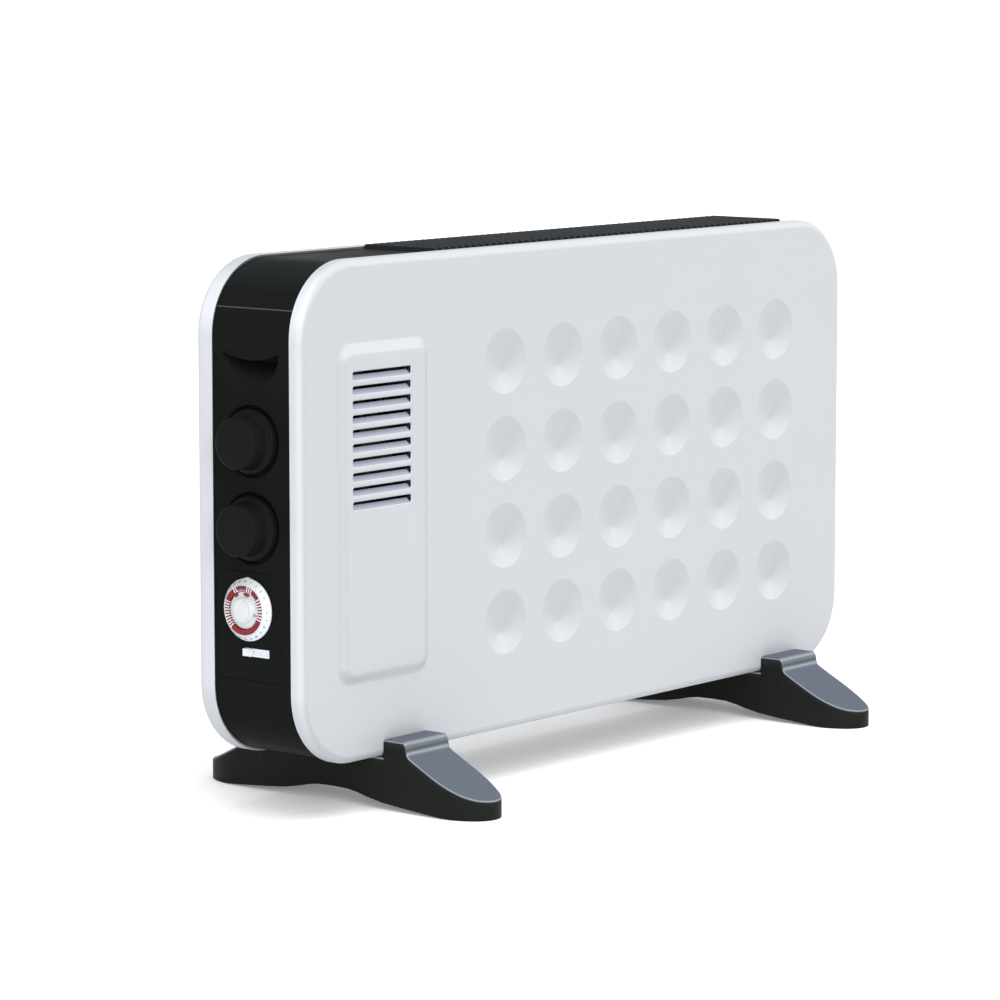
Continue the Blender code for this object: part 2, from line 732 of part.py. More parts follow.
def make_fan_motor(case):
    place = (FAN_X, 0, FAN_Z)
    bm = box_mesh((-0.024, -0.0074, -0.024), (0.024, 0.0166, 0.024))
    core = finish("fan_motor_core", bm, metal("motor_steel", STEEL, 0.5), place, case)
    bore = prism_mesh(circle((0, 0), SHAFT_RADIUS + SHAFT_PLAY, 12), "Y", -0.009, 0.018)
    combine(core, helper("motor_bore_cutter", bore, case, place), "DIFFERENCE")
    bm = box_mesh((-0.010, -0.006, 0.0243), (0.010, 0.015, 0.040))
    finish("fan_motor_coil", bm, metal("coil_copper", COPPER, 0.4), place, case)
    start, end = -0.030, 0.016
    shaft = [(0, start), (SHAFT_RADIUS, start), (SHAFT_RADIUS, end), (0, end)]
    finish("fan_shaft", turned(shaft, "Y", (0, 0), 12), metal("shaft_steel"), place, case)


def make_impeller(case):
    """Hub with pitched blades; its origin is on the shaft's axis."""
    place = (FAN_X, 0, FAN_Z)
    bore, hub, start, end = SHAFT_RADIUS + SHAFT_PLAY, 0.012, -0.0305, -0.014
    profile = [(bore, start), (hub, start), (hub, end), (bore, end)]
    bm = turned(profile, "Y", (0, 0), 14, closed=True)
    impeller = finish("fan_impeller", bm, plastic("impeller_grey", SLATE), place, case)
    blades = bmesh.new()
    for i in range(BLADE_COUNT):
        blade = box_mesh((0.010, -0.0007, -0.009), (0.0385, 0.0007, 0.009))
        pitch = Matrix.Rotation(math.radians(BLADE_PITCH), 4, "X")
        turn = Matrix.Rotation(2 * math.pi * i / BLADE_COUNT, 4, "Y")
        blade.transform(Matrix.Translation((0, BLADE_Y, 0)) @ turn @ pitch)
        mesh = bpy.data.meshes.new("blade")
        blade.to_mesh(mesh)
        blade.free()
        blades.from_mesh(mesh)
        bpy.data.meshes.remove(mesh)
    combine(impeller, helper("blade_shapes", blades, case, place), "UNION")


# Heating chamber


def make_partition(case):
    """Steel plate between the controls and the heating chamber."""
    low = (PARTITION_X, -0.031, 0.006)
    high = (PARTITION_X + PLATE, 0.0295, 0.298)
    plate = finish("partition_plate", box_mesh(low, high), metal("partition_steel"), parent=case)
    cutter = bmesh.new()
    for centre in ELEMENTS.values():
        add_prism(cutter, circle(centre, BUSH_HOLE, 12), "X", low[0] - 0.001, high[0] + 0.001)
    combine(plate, helper("partition_cutter", cutter, case), "DIFFERENCE")


def make_element_bracket(case):
    low = (BRACKET_X, -0.031, 0.006)
    high = (BRACKET_X + PLATE, 0.0295, 0.150)
    bracket = finish("element_bracket", box_mesh(low, high), metal("bracket_steel"), parent=case)
    cutter = bmesh.new()
    for centre in ELEMENTS.values():
        add_prism(cutter, circle(centre, BUSH_HOLE, 12), "X", low[0] - 0.001, high[0] + 0.001)
    combine(bracket, helper("element_bracket_cutter", cutter, case), "DIFFERENCE")


def make_element(name, centre, case):
    """A finned heating element: a star section between two plain studs."""
    bm = bmesh.new()
    count = 16
    star = []
    for i, (a, b) in enumerate(circle((0, 0), 1.0, count)):
        reach = ELEMENT_FIN if i % 2 else ELEMENT_CORE
        star.append((centre[0] + a * reach, centre[1] + b * reach))
    stud = circle(centre, STUD_RADIUS, count)
    left, right = PARTITION_X + 0.0135, BRACKET_X - 0.010
    stations = [
        (stud, PARTITION_X - 0.0085),
        (stud, left),
        (star, left),
        (star, right),
        (stud, right),
        (stud, BRACKET_X + 0.010),
    ]
    rings = [add_ring(bm, outline, "X", x) for outline, x in stations]
    for first, second in zip(rings, rings[1:]):
        bridge(bm, first, second)
    bm.faces.new(rings[0])
    bm.faces.new(rings[-1])
    finish(name, bm, metal(name + "_aluminium", (0.7, 0.7, 0.71), 0.4), parent=case)


def make_insulator(name, centre, plate_x, inner_side, case):
    """A ceramic bush in a plate's hole, with its flange on the heating side."""
    bore, neck, flange = STUD_RADIUS + 0.0005, BUSH_HOLE - 0.0006, 0.009
    middle = plate_x + PLATE / 2
    face = middle + inner_side * (PLATE / 2 + GAP)
    outer = middle + inner_side * BUSH_REACH
    tail = middle - inner_side * BUSH_REACH
    profile = [
        (bore, tail),
        (neck, tail),
        (neck, face),
        (flange, face),
        (flange, outer),
        (bore, outer),
    ]
    bm = turned(profile, "X", centre, 12, closed=True)
    finish(name, bm, plastic(name + "_ceramic", CERAMIC, 0.5), parent=case)


def make_heating(case):
    make_partition(case)
    make_element_bracket(case)
    for level, centre in ELEMENTS.items():
        make_element(f"heating_element_{level}", centre, case)
        make_insulator(f"insulator_{level}_left", centre, PARTITION_X, 1, case)
        make_insulator(f"insulator_{level}_right", centre, BRACKET_X, -1, case)
    low = (PARTITION_X + PLATE + GAP, 0.0335, 0.070)
    high = (BRACKET_X - GAP, 0.0343, 0.200)
    finish("heat_reflector", box_mesh(low, high), metal("reflector_steel", STEEL, 0.15), parent=case)
    start, body, flange = PARTITION_X + PLATE + GAP, 0.007, 0.0095
    step, end = start + 0.002, start + 0.008
    cutout = [(0, start), (flange, start), (flange, step), (body, step), (body, end), (0, end)]
    bm = turned(cutout, "X", (0, CUTOUT_Z), 12)
    finish("thermal_cutout", bm, metal("cutout_steel"), parent=case)


# Supply and wiring


def make_terminal_block(case):
    bm = box_mesh(TERMINAL_LOW, TERMINAL_HIGH)
    finish("terminal_block", bm, plastic("terminal_cream", CERAMIC), parent=case)


def make_cable_gland(case):
    """Bush in the rear panel where the mains lead goes in."""
    face = REAR + GAP
    tail, neck, collar = REAR - 0.007, GLAND_HOLE - 0.0006, 0.0090
    profile = [
        (GLAND_BORE, face + 0.006),
        (0.0075, face + 0.006),
        (collar, face + 0.002),
        (collar, face),
        (neck, face),
        (neck, tail),
        (GLAND_BORE, tail),
    ]
    bm = turned(profile, "Y", GLAND_PLACE, 12, closed=True)
    finish("cable_gland", bm, plastic("gland_black", BLACK, 0.5), parent=case)


def make_wire(name, colour, points, case):
    """A thin insulated lead through a few route points, smoothed into one bend."""
    curve = bpy.data.curves.new(name, "CURVE")
    curve.dimensions = "3D"
    curve.bevel_depth = WIRE_RADIUS
    curve.bevel_resolution = 1
    curve.use_fill_caps = True
    route = smooth_route([Vector(point) for point in points], 2)
    spline = curve.splines.new("POLY")
    spline.points.add(len(route) - 1)
    for spot, point in zip(spline.points, route):
        spot.co = (*point, 1.0)
    curve.materials.append(plastic(name + "_pvc", colour, 0.45))
    obj = bpy.data.objects.new(name, curve)
    obj.parent = case
    bpy.context.scene.collection.objects.link(obj)


def smooth_route(points, rounds):
    """Cuts the corners of a route again and again, which leaves its two ends in place."""
    for _ in range(rounds):
        cut = [points[0]]
        for start, end in zip(points, points[1:]):
            cut += [start.lerp(end, 0.25), start.lerp(end, 0.75)]
        points = cut + [points[-1]]
    return points


def make_wiring(case):
    """Internal leads. Each leaves its terminal straight, and ends just short of the next one."""
    blue, brown, black = (0.05, 0.12, 0.45), (0.22, 0.09, 0.04), (0.02, 0.02, 0.02)
    lower, upper = ELEMENTS["lower"], ELEMENTS["upper"]
    stud_end = PARTITION_X - 0.0089
    back = BAND_SIDE + CONTROL_BACK + 0.0004
    off = back + 0.005
    block_top = TERMINAL_HIGH[2] + 0.0004
    core_bottom = FAN_Z - 0.0252
    routes = {
        "wire_terminal_timer": [
            (-0.222, 0.014, block_top),
            (-0.222, 0.014, 0.040),
            (-0.233, 0.014, 0.062),
            (off, 0.014, 0.070),
            (back, 0.014, 0.070),
        ],
        "wire_timer_thermostat": [
            (back, 0.016, 0.105),
            (off, 0.016, 0.105),
            (-0.241, 0.015, 0.150),
            (off, 0.006, THERMOSTAT_Z),
            (back, 0.006, THERMOSTAT_Z),
        ],
        "wire_selector_lower": [
            (back, 0.010, 0.138),
            (off, 0.010, 0.138),
            (-0.190, 0.004, 0.086),
            (-0.172, *lower),
            (stud_end, *lower),
        ],
        "wire_selector_upper": [
            (back, -0.004, 0.150),
            (off, -0.004, 0.150),
            (-0.200, 0.010, 0.112),
            (-0.175, *upper),
            (stud_end, *upper),
        ],
        "wire_terminal_fan": [
            (-0.212, 0.014, block_top),
            (-0.212, 0.022, 0.050),
            (-0.208, 0.024, 0.120),
            (FAN_X, 0.010, 0.160),
            (FAN_X, 0.010, core_bottom),
        ],
    }
    colours = {"timer": brown, "thermostat": brown, "lower": black, "upper": black, "fan": blue}
    for name, points in routes.items():
        make_wire(name, colours[name.split("_")[-1]], points, case)


# Fasteners


def make_panel_screws(case):
    """Pan-head screws through the rear panel into the front panel's bosses."""
    face, tip = REAR + GAP, REAR - PANEL_SCREW_LENGTH
    head, shank = 0.0040, 0.0014
    profile = [
        (0, face + 0.0022),
        (head - 0.001, face + 0.0020),
        (head, face + 0.0008),
        (head, face),
        (shank, face),
        (shank, tip),
        (0, tip),
    ]
    for number, centre in enumerate(BOSS_PLACES, 1):
        bm = turned(profile, "Y", centre, 10)
        finish(f"panel_screw_{number}", bm, metal(f"panel_screw_{number}_zinc"), parent=case)


def make_foot_screws():
    """Screws up through the feet into the base tray."""
    bottom, seat, tip = FOOT_SCREW_HEAD, FOOT_SCREW_HEAD + 0.0027, FOOT_LIFT + 0.009
    head, shank = 0.0040, 0.0020
    profile = [(0, bottom), (head, bottom), (head, seat), (shank, seat), (shank, tip), (0, tip)]
    number = 0
    for x in FOOT_X:
        for y in (-FOOT_SCREW_Y, FOOT_SCREW_Y):
            number += 1
            bm = turned(profile, "Z", (0, 0), 10)
            place = (CASE_X + x, y, 0)
            finish(f"foot_screw_{number}", bm, metal(f"foot_screw_{number}_zinc"), place)


# Feet


def foot_profile():
    """Side view of a foot, as (y, z) points: arch, toe wall, slope, block and cradle."""
    half = [
        (0.0120, 0.0112),
        (0.0280, 0.0065),
        (0.0500, 0.0032),
        (0.0900, 0.0),
        (FOOT_HALF_LENGTH, 0.0),
        (FOOT_HALF_LENGTH, TOE_HEIGHT),
        (0.1010, 0.0157),
        (0.0860, 0.0223),
        (0.0645, 0.0335),
        (0.0595, 0.0365),
        (0.0585, BLOCK_TOP),
    ]
    rear = half + [(REAR + GAP, BLOCK_TOP), (REAR + GAP, FOOT_LIFT - GAP)]
    front = half + [(GAP - FRONT, BLOCK_TOP), (GAP - FRONT, FOOT_LIFT - GAP)]
    return rear + [(-y, z) for y, z in reversed(front)]


def foot_plan():
    """Outline of a foot from above: straight sides and half-oval toes."""
    half_width = FOOT_WIDTH / 2
    straight = FOOT_HALF_LENGTH - TOE_LENGTH
    outline = []
    for end in (1, -1):
        for i in range(11):
            angle = math.pi * i / 10
            x = end * half_width * math.cos(angle)
            outline.append((x, end * (straight + TOE_LENGTH * math.sin(angle))))
    return outline


def make_foot(name, x):
    place = (CASE_X + x, 0, 0)
    half_width = FOOT_WIDTH / 2
    bm = prism_mesh(foot_profile(), "X", -half_width - 0.001, half_width + 0.001)
    foot = finish(name, bm, plastic(name + "_slate", SLATE, 0.45), place)
    plan = helper(name + "_plan", prism_mesh(foot_plan(), "Z", -0.005, 0.060), None, place)
    combine(foot, plan, "INTERSECT")
    holes = bmesh.new()
    for y in (-FOOT_SCREW_Y, FOOT_SCREW_Y):
        add_prism(holes, circle((0, y), 0.0045, 12), "Z", 0.005, FOOT_SCREW_HEAD + 0.003)
    combine(foot, helper(name + "_counterbore", holes, None, place), "DIFFERENCE")
    holes = bmesh.new()
    for y in (-FOOT_SCREW_Y, FOOT_SCREW_Y):
        add_prism(holes, circle((0, y), FOOT_SCREW_HOLE, 10), "Z", 0.015, 0.040)
    combine(foot, helper(name + "_screw_hole", holes, None, place), "DIFFERENCE")


def main():
    clear_scene()
    case = bpy.data.objects.new("case", None)
    case.location = (CASE_X, 0, FOOT_LIFT)
    bpy.context.scene.collection.objects.link(case)
    make_front_panel(case)
    make_rear_panel(case)
    make_outlet_louvre(case)
    end_cap("control_end_cap", -1, TOP_CAP_END, control_openings, case)
    end_cap("plain_end_cap", 1, CORNER_END, plain_openings, case)
    make_top_grille(case)
    make_base_tray(case)
    make_thermostat(case)
    make_selector(case)
    make_timer_fascia(case)
    make_timer(case)
    make_mode_switch(case)
    make_fan_frame(case)
    make_fan_motor(case)
    make_impeller(case)
    make_heating(case)
    make_terminal_block(case)
    make_cable_gland(case)
    make_wiring(case)
    make_panel_screws(case)
    make_foot_screws()
    for name, x in zip(("foot_left", "foot_right"), FOOT_X):
        make_foot(name, x)


main()
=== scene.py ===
"""Looks of the fan convector heater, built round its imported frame.

Metres, +Z up. Pieces are drawn in the case's own frame: x across the width from its middle,
y through the depth from its middle, z up from the underside of the panels.
"""

import json
import math

import bmesh
import bpy
from mathutils import Matrix, Vector


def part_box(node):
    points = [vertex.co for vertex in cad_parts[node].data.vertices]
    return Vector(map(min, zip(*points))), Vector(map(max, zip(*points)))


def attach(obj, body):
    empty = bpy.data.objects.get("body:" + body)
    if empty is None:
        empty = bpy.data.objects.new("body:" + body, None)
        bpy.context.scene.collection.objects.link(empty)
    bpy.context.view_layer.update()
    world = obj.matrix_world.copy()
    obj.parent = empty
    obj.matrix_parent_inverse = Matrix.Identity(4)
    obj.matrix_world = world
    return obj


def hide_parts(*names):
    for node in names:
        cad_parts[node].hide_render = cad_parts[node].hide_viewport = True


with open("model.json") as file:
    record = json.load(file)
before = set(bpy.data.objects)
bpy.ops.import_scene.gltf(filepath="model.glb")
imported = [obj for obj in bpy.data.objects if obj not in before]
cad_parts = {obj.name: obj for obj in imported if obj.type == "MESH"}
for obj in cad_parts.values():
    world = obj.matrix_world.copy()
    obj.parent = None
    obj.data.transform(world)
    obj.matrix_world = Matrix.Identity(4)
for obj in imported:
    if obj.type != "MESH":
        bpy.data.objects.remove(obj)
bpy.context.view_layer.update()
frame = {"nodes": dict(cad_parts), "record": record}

GAP = 0.0003

# Panels; a lip is a row of (inset, depth) steps, and the dimples' drop is a share of their radius
CORNER_RADIUS = 0.0465
CORNER_STEPS = 16
EDGE_ROUND = 0.005
EDGE_STEPS = 7
SHEET = 0.002
DIMPLE_COLUMNS = 6
DIMPLE_ROWS = 4
DIMPLE_RADIUS = 0.0208
DIMPLE_DEPTH = 0.0042
DIMPLE_SIDES = 56
DIMPLE_DROP = 0.36
DIMPLE_FIRST = (-0.088, 0.0690)
DIMPLE_PITCH = (0.0580, 0.0548)
PAD_LOW = (-0.2485, 0.0475)
PAD_HIGH = (-0.1630, 0.2555)
PAD_ROUND = 0.012
PAD_SLOPE = 0.008
PAD_RISE = 0.003
OUTLET_COUNT = 10
OUTLET_PITCH = 0.00872
OUTLET_HEIGHT = 0.005
OUTLET_X = (-0.2363, -0.1825)
OUTLET_FIRST_Z = 0.157
OUTLET_ROUND = 0.0014
OUTLET_LIP = ((-0.0008, 0.0), (-0.0003, 0.0002), (0.0, 0.0006))
INLET_COUNT = 26
INLET_MIDDLE = 0.042
INLET_PITCH = 0.013
INLET_Z = (0.020, 0.060)
INLET_HALF_WIDTH = 0.0025
INLET_ROUND = 0.0024
INLET_LIP = ((-0.0005, 0.0), (-0.00015, 0.00015), (0.0, 0.0005))
FIELD_LOW = (-0.205, 0.088)
FIELD_HIGH = (0.205, 0.262)
FIELD_ROUND = 0.016
FIELD_SLOPE = 0.004
FIELD_DEPTH = 0.0015
PANEL_SCREW_X = (-0.244, 0.244)
PANEL_SCREW_Z = (0.046, 0.270)
PANEL_SCREW_HOLE = 0.0024
BOSS_RADIUS = 0.005
GLAND_CENTRE = (-0.215, 0.030)
GLAND_HOLE = 0.0072

# Band; the bead's section is a row of (turn in degrees, rise) points round the corner
CAP_BASE_END = 0.2283
CAP_SHEET = 0.0022
BEAD_ANGLE = 23.2
BEAD_SECTION = ((0.62, -0.0004), (0.50, 0.0002), (0.0, 0.00035), (-0.50, 0.0002), (-0.62, -0.0004))
GRILLE_DEPTH = 0.0028
GRILLE_RAIL = 0.0032
RIB_PITCH = 0.0066
RIB_WIDTH = 0.0026
RIB_CROWN = 0.0029

# Controls
HANDLE_Z = 0.2498
HANDLE_RADIUS = 0.0224
HANDLE_SAG = 0.0045
HANDLE_DEPTH = 0.016
HANDLE_RISE = 0.009
HANDLE_LIP = ((0.0018, 0.0), (0.0008, 0.0), (0.0002, 0.0002))
HANDLE_CLOSING = 0.34
HANDLE_NARROWING = 0.22
HANDLE_LIP_DEPTH = 0.0008
WELL_RADIUS = 0.0218
WELL_DEPTH = 0.0035
KNOB_SIDES = 96
KNOB_SWELL = 1.015
KNOB_STEP = 0.003
TAPPETS = 48
HOURS = 24
TAPPET_INNER = 0.0118
TAPPET_OUTER = 0.0148
TAPPET_FOOT = 0.0032

# Feet; a bore is (radius, bottom, top)
BLOCK_TOP = 0.044
FOOT_EDGE = 0.0017
FOOT_LOWER_EDGE = 0.0006
TOE_REACH = 0.034
FOOT_SCREW_Y = 0.018
FOOT_BORES = ((0.0045, -0.005, 0.0200), (0.0025, 0.015, 0.040))

# The case, read from the frame
PANEL_LOW, PANEL_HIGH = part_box("rear_panel")
BAND_LOW, BAND_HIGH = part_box("control_end_cap")
WIDTH = PANEL_HIGH.x - PANEL_LOW.x
HEIGHT = PANEL_HIGH.z - PANEL_LOW.z
ORIGIN = Vector(((PANEL_LOW.x + PANEL_HIGH.x) / 2, 0, PANEL_LOW.z))
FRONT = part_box("front_panel")[0].y + PAD_RISE
REAR = PANEL_HIGH.y
REAR_RIM = PANEL_HIGH.y - PANEL_LOW.y
BAND_FRONT, BAND_REAR = BAND_LOW.y, BAND_HIGH.y
BAND_SIDE = BAND_LOW.x - ORIGIN.x
BAND_INSET = WIDTH / 2 + BAND_SIDE
FRONT_RIM = BAND_FRONT - FRONT - GAP

# Camera: the middle of the picture, and where the camera stands from it
LENS = 153.3
AZIMUTH = 51.01
ELEVATION = 7.39
DISTANCE = 2.76
AIM = Vector((-0.0118, 0.0191, 0.1670))


# Mesh helpers


def along(axis, distance, a, b):
    """A point at distance along one axis, with a and b on the other two in X, Y, Z order."""
    if axis == "X":
        return Vector((distance, a, b))
    if axis == "Y":
        return Vector((a, distance, b))
    return Vector((a, b, distance))


def add_ring(bm, outline, axis, distance):
    return [bm.verts.new(along(axis, distance, a, b)) for a, b in outline]


def bridge(bm, first, second):
    count = len(first)
    for i in range(count):
        j = (i + 1) % count
        bm.faces.new((first[i], first[j], second[j], second[i]))


def bridge_all(bm, rings):
    for first, second in zip(rings, rings[1:]):
        bridge(bm, first, second)


def add_prism(bm, outline, axis, start, end):
    first = add_ring(bm, outline, axis, start)
    second = add_ring(bm, outline, axis, end)
    bridge(bm, first, second)
    bm.faces.new(first)
    bm.faces.new(second)


def add_box(bm, low, high):
    low, high = Vector(low), Vector(high)
    size = Matrix.Diagonal((*(high - low), 1.0))
    bmesh.ops.create_cube(bm, size=1.0, matrix=Matrix.Translation((low + high) / 2) @ size)


def fill_flat(bm, loops):
    """Faces over a flat outline, the first loop, with the other loops left as holes."""
    edges = []
    for loop in loops:
        for i, vert in enumerate(loop):
            after = loop[(i + 1) % len(loop)]
            edges.append(bm.edges.get((vert, after)) or bm.edges.new((vert, after)))
    bmesh.ops.triangle_fill(bm, use_beauty=True, use_dissolve=False, edges=edges)


def circle(centre, radius, sides):
    angles = [2 * math.pi * i / sides for i in range(sides)]
    return [(centre[0] + radius * math.cos(a), centre[1] + radius * math.sin(a)) for a in angles]


def arc(centre, radius, start, stop, steps):
    angles = [math.radians(start + (stop - start) * i / steps) for i in range(steps + 1)]
    return [(centre[0] + radius * math.cos(a), centre[1] + radius * math.sin(a)) for a in angles]


def rounded_rectangle(low, high, radius, steps):
    left, bottom = low[0] + radius, low[1] + radius
    right, top = high[0] - radius, high[1] - radius
    outline = arc((right, top), radius, 0, 90, steps)
    outline += arc((left, top), radius, 90, 180, steps)
    outline += arc((left, bottom), radius, 180, 270, steps)
    outline += arc((right, bottom), radius, 270, 360, steps)
    return outline


def add_turned(bm, profile, axis, centre, sides, closed=False):
    """A solid of revolution from (radius, distance along the axis) points."""
    rings = []
    for radius, distance in profile:
        if radius == 0:
            rings.append([bm.verts.new(along(axis, distance, *centre))])
        else:
            rings.append(add_ring(bm, circle(centre, radius, sides), axis, distance))
    pairs = list(zip(rings, rings[1:]))
    if closed:
        pairs.append((rings[-1], rings[0]))
    for first, second in pairs:
        if len(first) == len(second):
            bridge(bm, first, second)
            continue
        pole, rim = (first, second) if len(first) == 1 else (second, first)
        for i in range(sides):
            bm.faces.new((pole[0], rim[i], rim[(i + 1) % sides]))


def fillet(corner, before, after, radius, steps=4):
    """Points that round one corner of a profile."""
    corner, before, after = Vector(corner), Vector(before), Vector(after)
    to_before, to_after = (before - corner).normalized(), (after - corner).normalized()
    half = to_before.angle(to_after) / 2
    longest = min((before - corner).length, (after - corner).length) * 0.49
    reach = min(radius / math.tan(half), longest)
    radius = reach * math.tan(half)
    centre = corner + (to_before + to_after).normalized() * (radius / math.sin(half))
    start, stop = corner + to_before * reach - centre, corner + to_after * reach - centre
    sweep = start.angle(stop)
    points = []
    for i in range(steps + 1):
        share = i / steps
        arm = start * math.sin((1 - share) * sweep) + stop * math.sin(share * sweep)
        points.append(tuple(centre + arm / math.sin(sweep)))
    return points


def rounded_profile(points, radii):
    """A profile whose inner corners are rounded; radii gives each inner corner's radius."""
    result = [points[0]]
    for i in range(1, len(points) - 1):
        if radii[i - 1]:
            result += fillet(points[i], points[i - 1], points[i + 1], radii[i - 1])
        else:
            result.append(points[i])
    return result + [points[-1]]


# Pieces


def place_piece(name, bm, material, body, replaced, outward=None, sharp=38, at=None):
    """Makes a piece in the case's frame, lets it ride on a body and stand for its CAD nodes."""
    bmesh.ops.recalc_face_normals(bm, faces=bm.faces)
    if outward:
        largest = max(bm.faces, key=lambda face: face.calc_area())
        if largest.normal.dot(Vector(outward)) < 0:
            bmesh.ops.reverse_faces(bm, faces=bm.faces)
    bm.edges.index_update()
    openings = [edge.index for edge in bm.edges if edge.is_boundary]
    mesh = bpy.data.meshes.new(name)
    bm.to_mesh(mesh)
    bm.free()
    mesh.shade_smooth()
    mesh.set_sharp_from_angle(angle=math.radians(sharp))
    for index in openings:
        mesh.edges[index].use_edge_sharp = True
    mesh.materials.append(material)
    piece = bpy.data.objects.new(name, mesh)
    piece.location = ORIGIN if at is None else at
    bpy.context.scene.collection.objects.link(piece)
    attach(piece, body)
    if replaced:
        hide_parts(*replaced)
    return piece


def solidify(piece, thickness):
    modifier = piece.modifiers.new("Wall", "SOLIDIFY")
    modifier.thickness = thickness
    modifier.offset = -1.0
    modifier.use_even_offset = True


def soften(piece, width, segments=3, angle=35):
    modifier = piece.modifiers.new("Edges", "BEVEL")
    modifier.width = width
    modifier.segments = segments
    modifier.limit_method = "ANGLE"
    modifier.angle_limit = math.radians(angle)
    modifier.harden_normals = False


def weight_normals(piece):
    modifier = piece.modifiers.new("Shading", "WEIGHTED_NORMAL")
    modifier.keep_sharp = True
    modifier.weight = 50


def cut(piece, bm, operation="DIFFERENCE"):
    """Cuts a piece with a hidden shape, and applies the cut."""
    bmesh.ops.recalc_face_normals(bm, faces=bm.faces)
    mesh = bpy.data.meshes.new("cutter")
    bm.to_mesh(mesh)
    bm.free()
    cutter = bpy.data.objects.new("cutter", mesh)
    bpy.context.scene.collection.objects.link(cutter)
    cutter.matrix_world = piece.matrix_world.copy()
    modifier = piece.modifiers.new("Cut", "BOOLEAN")
    modifier.operation = operation
    modifier.object = cutter
    modifier.solver = "EXACT"
    bpy.context.view_layer.update()
    graph = bpy.context.evaluated_depsgraph_get()
    result = bpy.data.meshes.new_from_object(piece.evaluated_get(graph))
    piece.modifiers.remove(modifier)
    piece.data = result
    bpy.data.objects.remove(cutter)


# Materials


def new_material(name):
    material = bpy.data.materials.new(name)
    material.use_nodes = True
    nodes = material.node_tree.nodes
    return material, nodes, material.node_tree.links, nodes["Principled BSDF"]


def noise(nodes, links, coordinates, scale, detail=2.0, roughness=0.5):
    texture = nodes.new("ShaderNodeTexNoise")
    texture.inputs["Scale"].default_value = scale
    texture.inputs["Detail"].default_value = detail
    texture.inputs["Roughness"].default_value = roughness
    links.new(coordinates, texture.inputs["Vector"])
    return texture.outputs["Fac"]


def spread(nodes, links, value, low, high):
    """Maps a noise value onto a range."""
    ranged = nodes.new("ShaderNodeMapRange")
    ranged.inputs["From Min"].default_value = 0.3
    ranged.inputs["From Max"].default_value = 0.7
    ranged.inputs["To Min"].default_value = low
    ranged.inputs["To Max"].default_value = high
    links.new(value, ranged.inputs["Value"])
    return ranged.outputs["Result"]


def blend_colours(nodes, links, value, first, second):
    mix = nodes.new("ShaderNodeMix")
    mix.data_type = "RGBA"
    links.new(value, mix.inputs["Factor"])
    mix.inputs["A"].default_value = (*first, 1.0)
    mix.inputs["B"].default_value = (*second, 1.0)
    return mix.outputs["Result"]


def add_relief(nodes, links, shader, height, strength, distance):
    relief = nodes.new("ShaderNodeBump")
    relief.inputs["Strength"].default_value = strength
    relief.inputs["Distance"].default_value = distance
    links.new(height, relief.inputs["Height"])
    links.new(relief.outputs["Normal"], shader.inputs["Normal"])


def shade(colour, amount):
    return tuple(channel * amount for channel in colour)


def bloom(nodes, links, texture_coordinates, tint, painted_shading, axis="Z"):
    """Paints light and shade into a colour: multiplies it by a tone picked by how far the surface faces
    along an axis, from -1 to 1.
    """
    split = nodes.new("ShaderNodeSeparateXYZ")
    links.new(texture_coordinates.outputs["Normal"], split.inputs["Vector"])
    share = nodes.new("ShaderNodeMapRange")
    share.inputs["From Min"].default_value = -1.0
    links.new(split.outputs[axis], share.inputs["Value"])
    ramp = nodes.new("ShaderNodeValToRGB")
    stops = ramp.color_ramp.elements
    while len(stops) < len(painted_shading):
        stops.new(0.5)
    for stop, (up, tone) in zip(stops, painted_shading):
        stop.position = (up + 1) / 2
        stop.color = (*tone, 1.0)
    links.new(share.outputs["Result"], ramp.inputs["Fac"])
    mix = nodes.new("ShaderNodeMix")
    mix.data_type = "RGBA"
    mix.blend_type = "MULTIPLY"
    mix.inputs["Factor"].default_value = 1.0
    links.new(tint, mix.inputs["A"])
    links.new(ramp.outputs["Color"], mix.inputs["B"])
    return mix.outputs["Result"]


def moulded(name, colour, roughness, ior, grain, bump, mottle, painted_shading=None, side_painted_shading=None):
    """Injection-moulded plastic: a fine spark-eroded grain, slow colour drift, handling smudges,
    painted light and shade.
    """
    material, nodes, links, shader = new_material(name)
    texture_coordinates = nodes.new("ShaderNodeTexCoord")
    coordinates = texture_coordinates.outputs["Object"]
    drift = noise(nodes, links, coordinates, 9.0, 4.0, 0.6)
    tint = blend_colours(nodes, links, drift, shade(colour, 1 - mottle), shade(colour, 1 + mottle))
    # The tones paint light and shade: lighter or darker by how far the surface faces up, and along +X
    if painted_shading:
        tint = bloom(nodes, links, texture_coordinates, tint, painted_shading)
    if side_painted_shading:
        tint = bloom(nodes, links, texture_coordinates, tint, side_painted_shading, "X")
    links.new(tint, shader.inputs["Base Color"])
    smudge = noise(nodes, links, coordinates, 34.0, 5.0, 0.65)
    rough = spread(nodes, links, smudge, roughness * 0.88, roughness * 1.14)
    links.new(rough, shader.inputs["Roughness"])
    fine = noise(nodes, links, coordinates, grain, 3.0, 0.6)
    add_relief(nodes, links, shader, fine, bump, 0.0004)
    shader.inputs["IOR"].default_value = ior
    return material


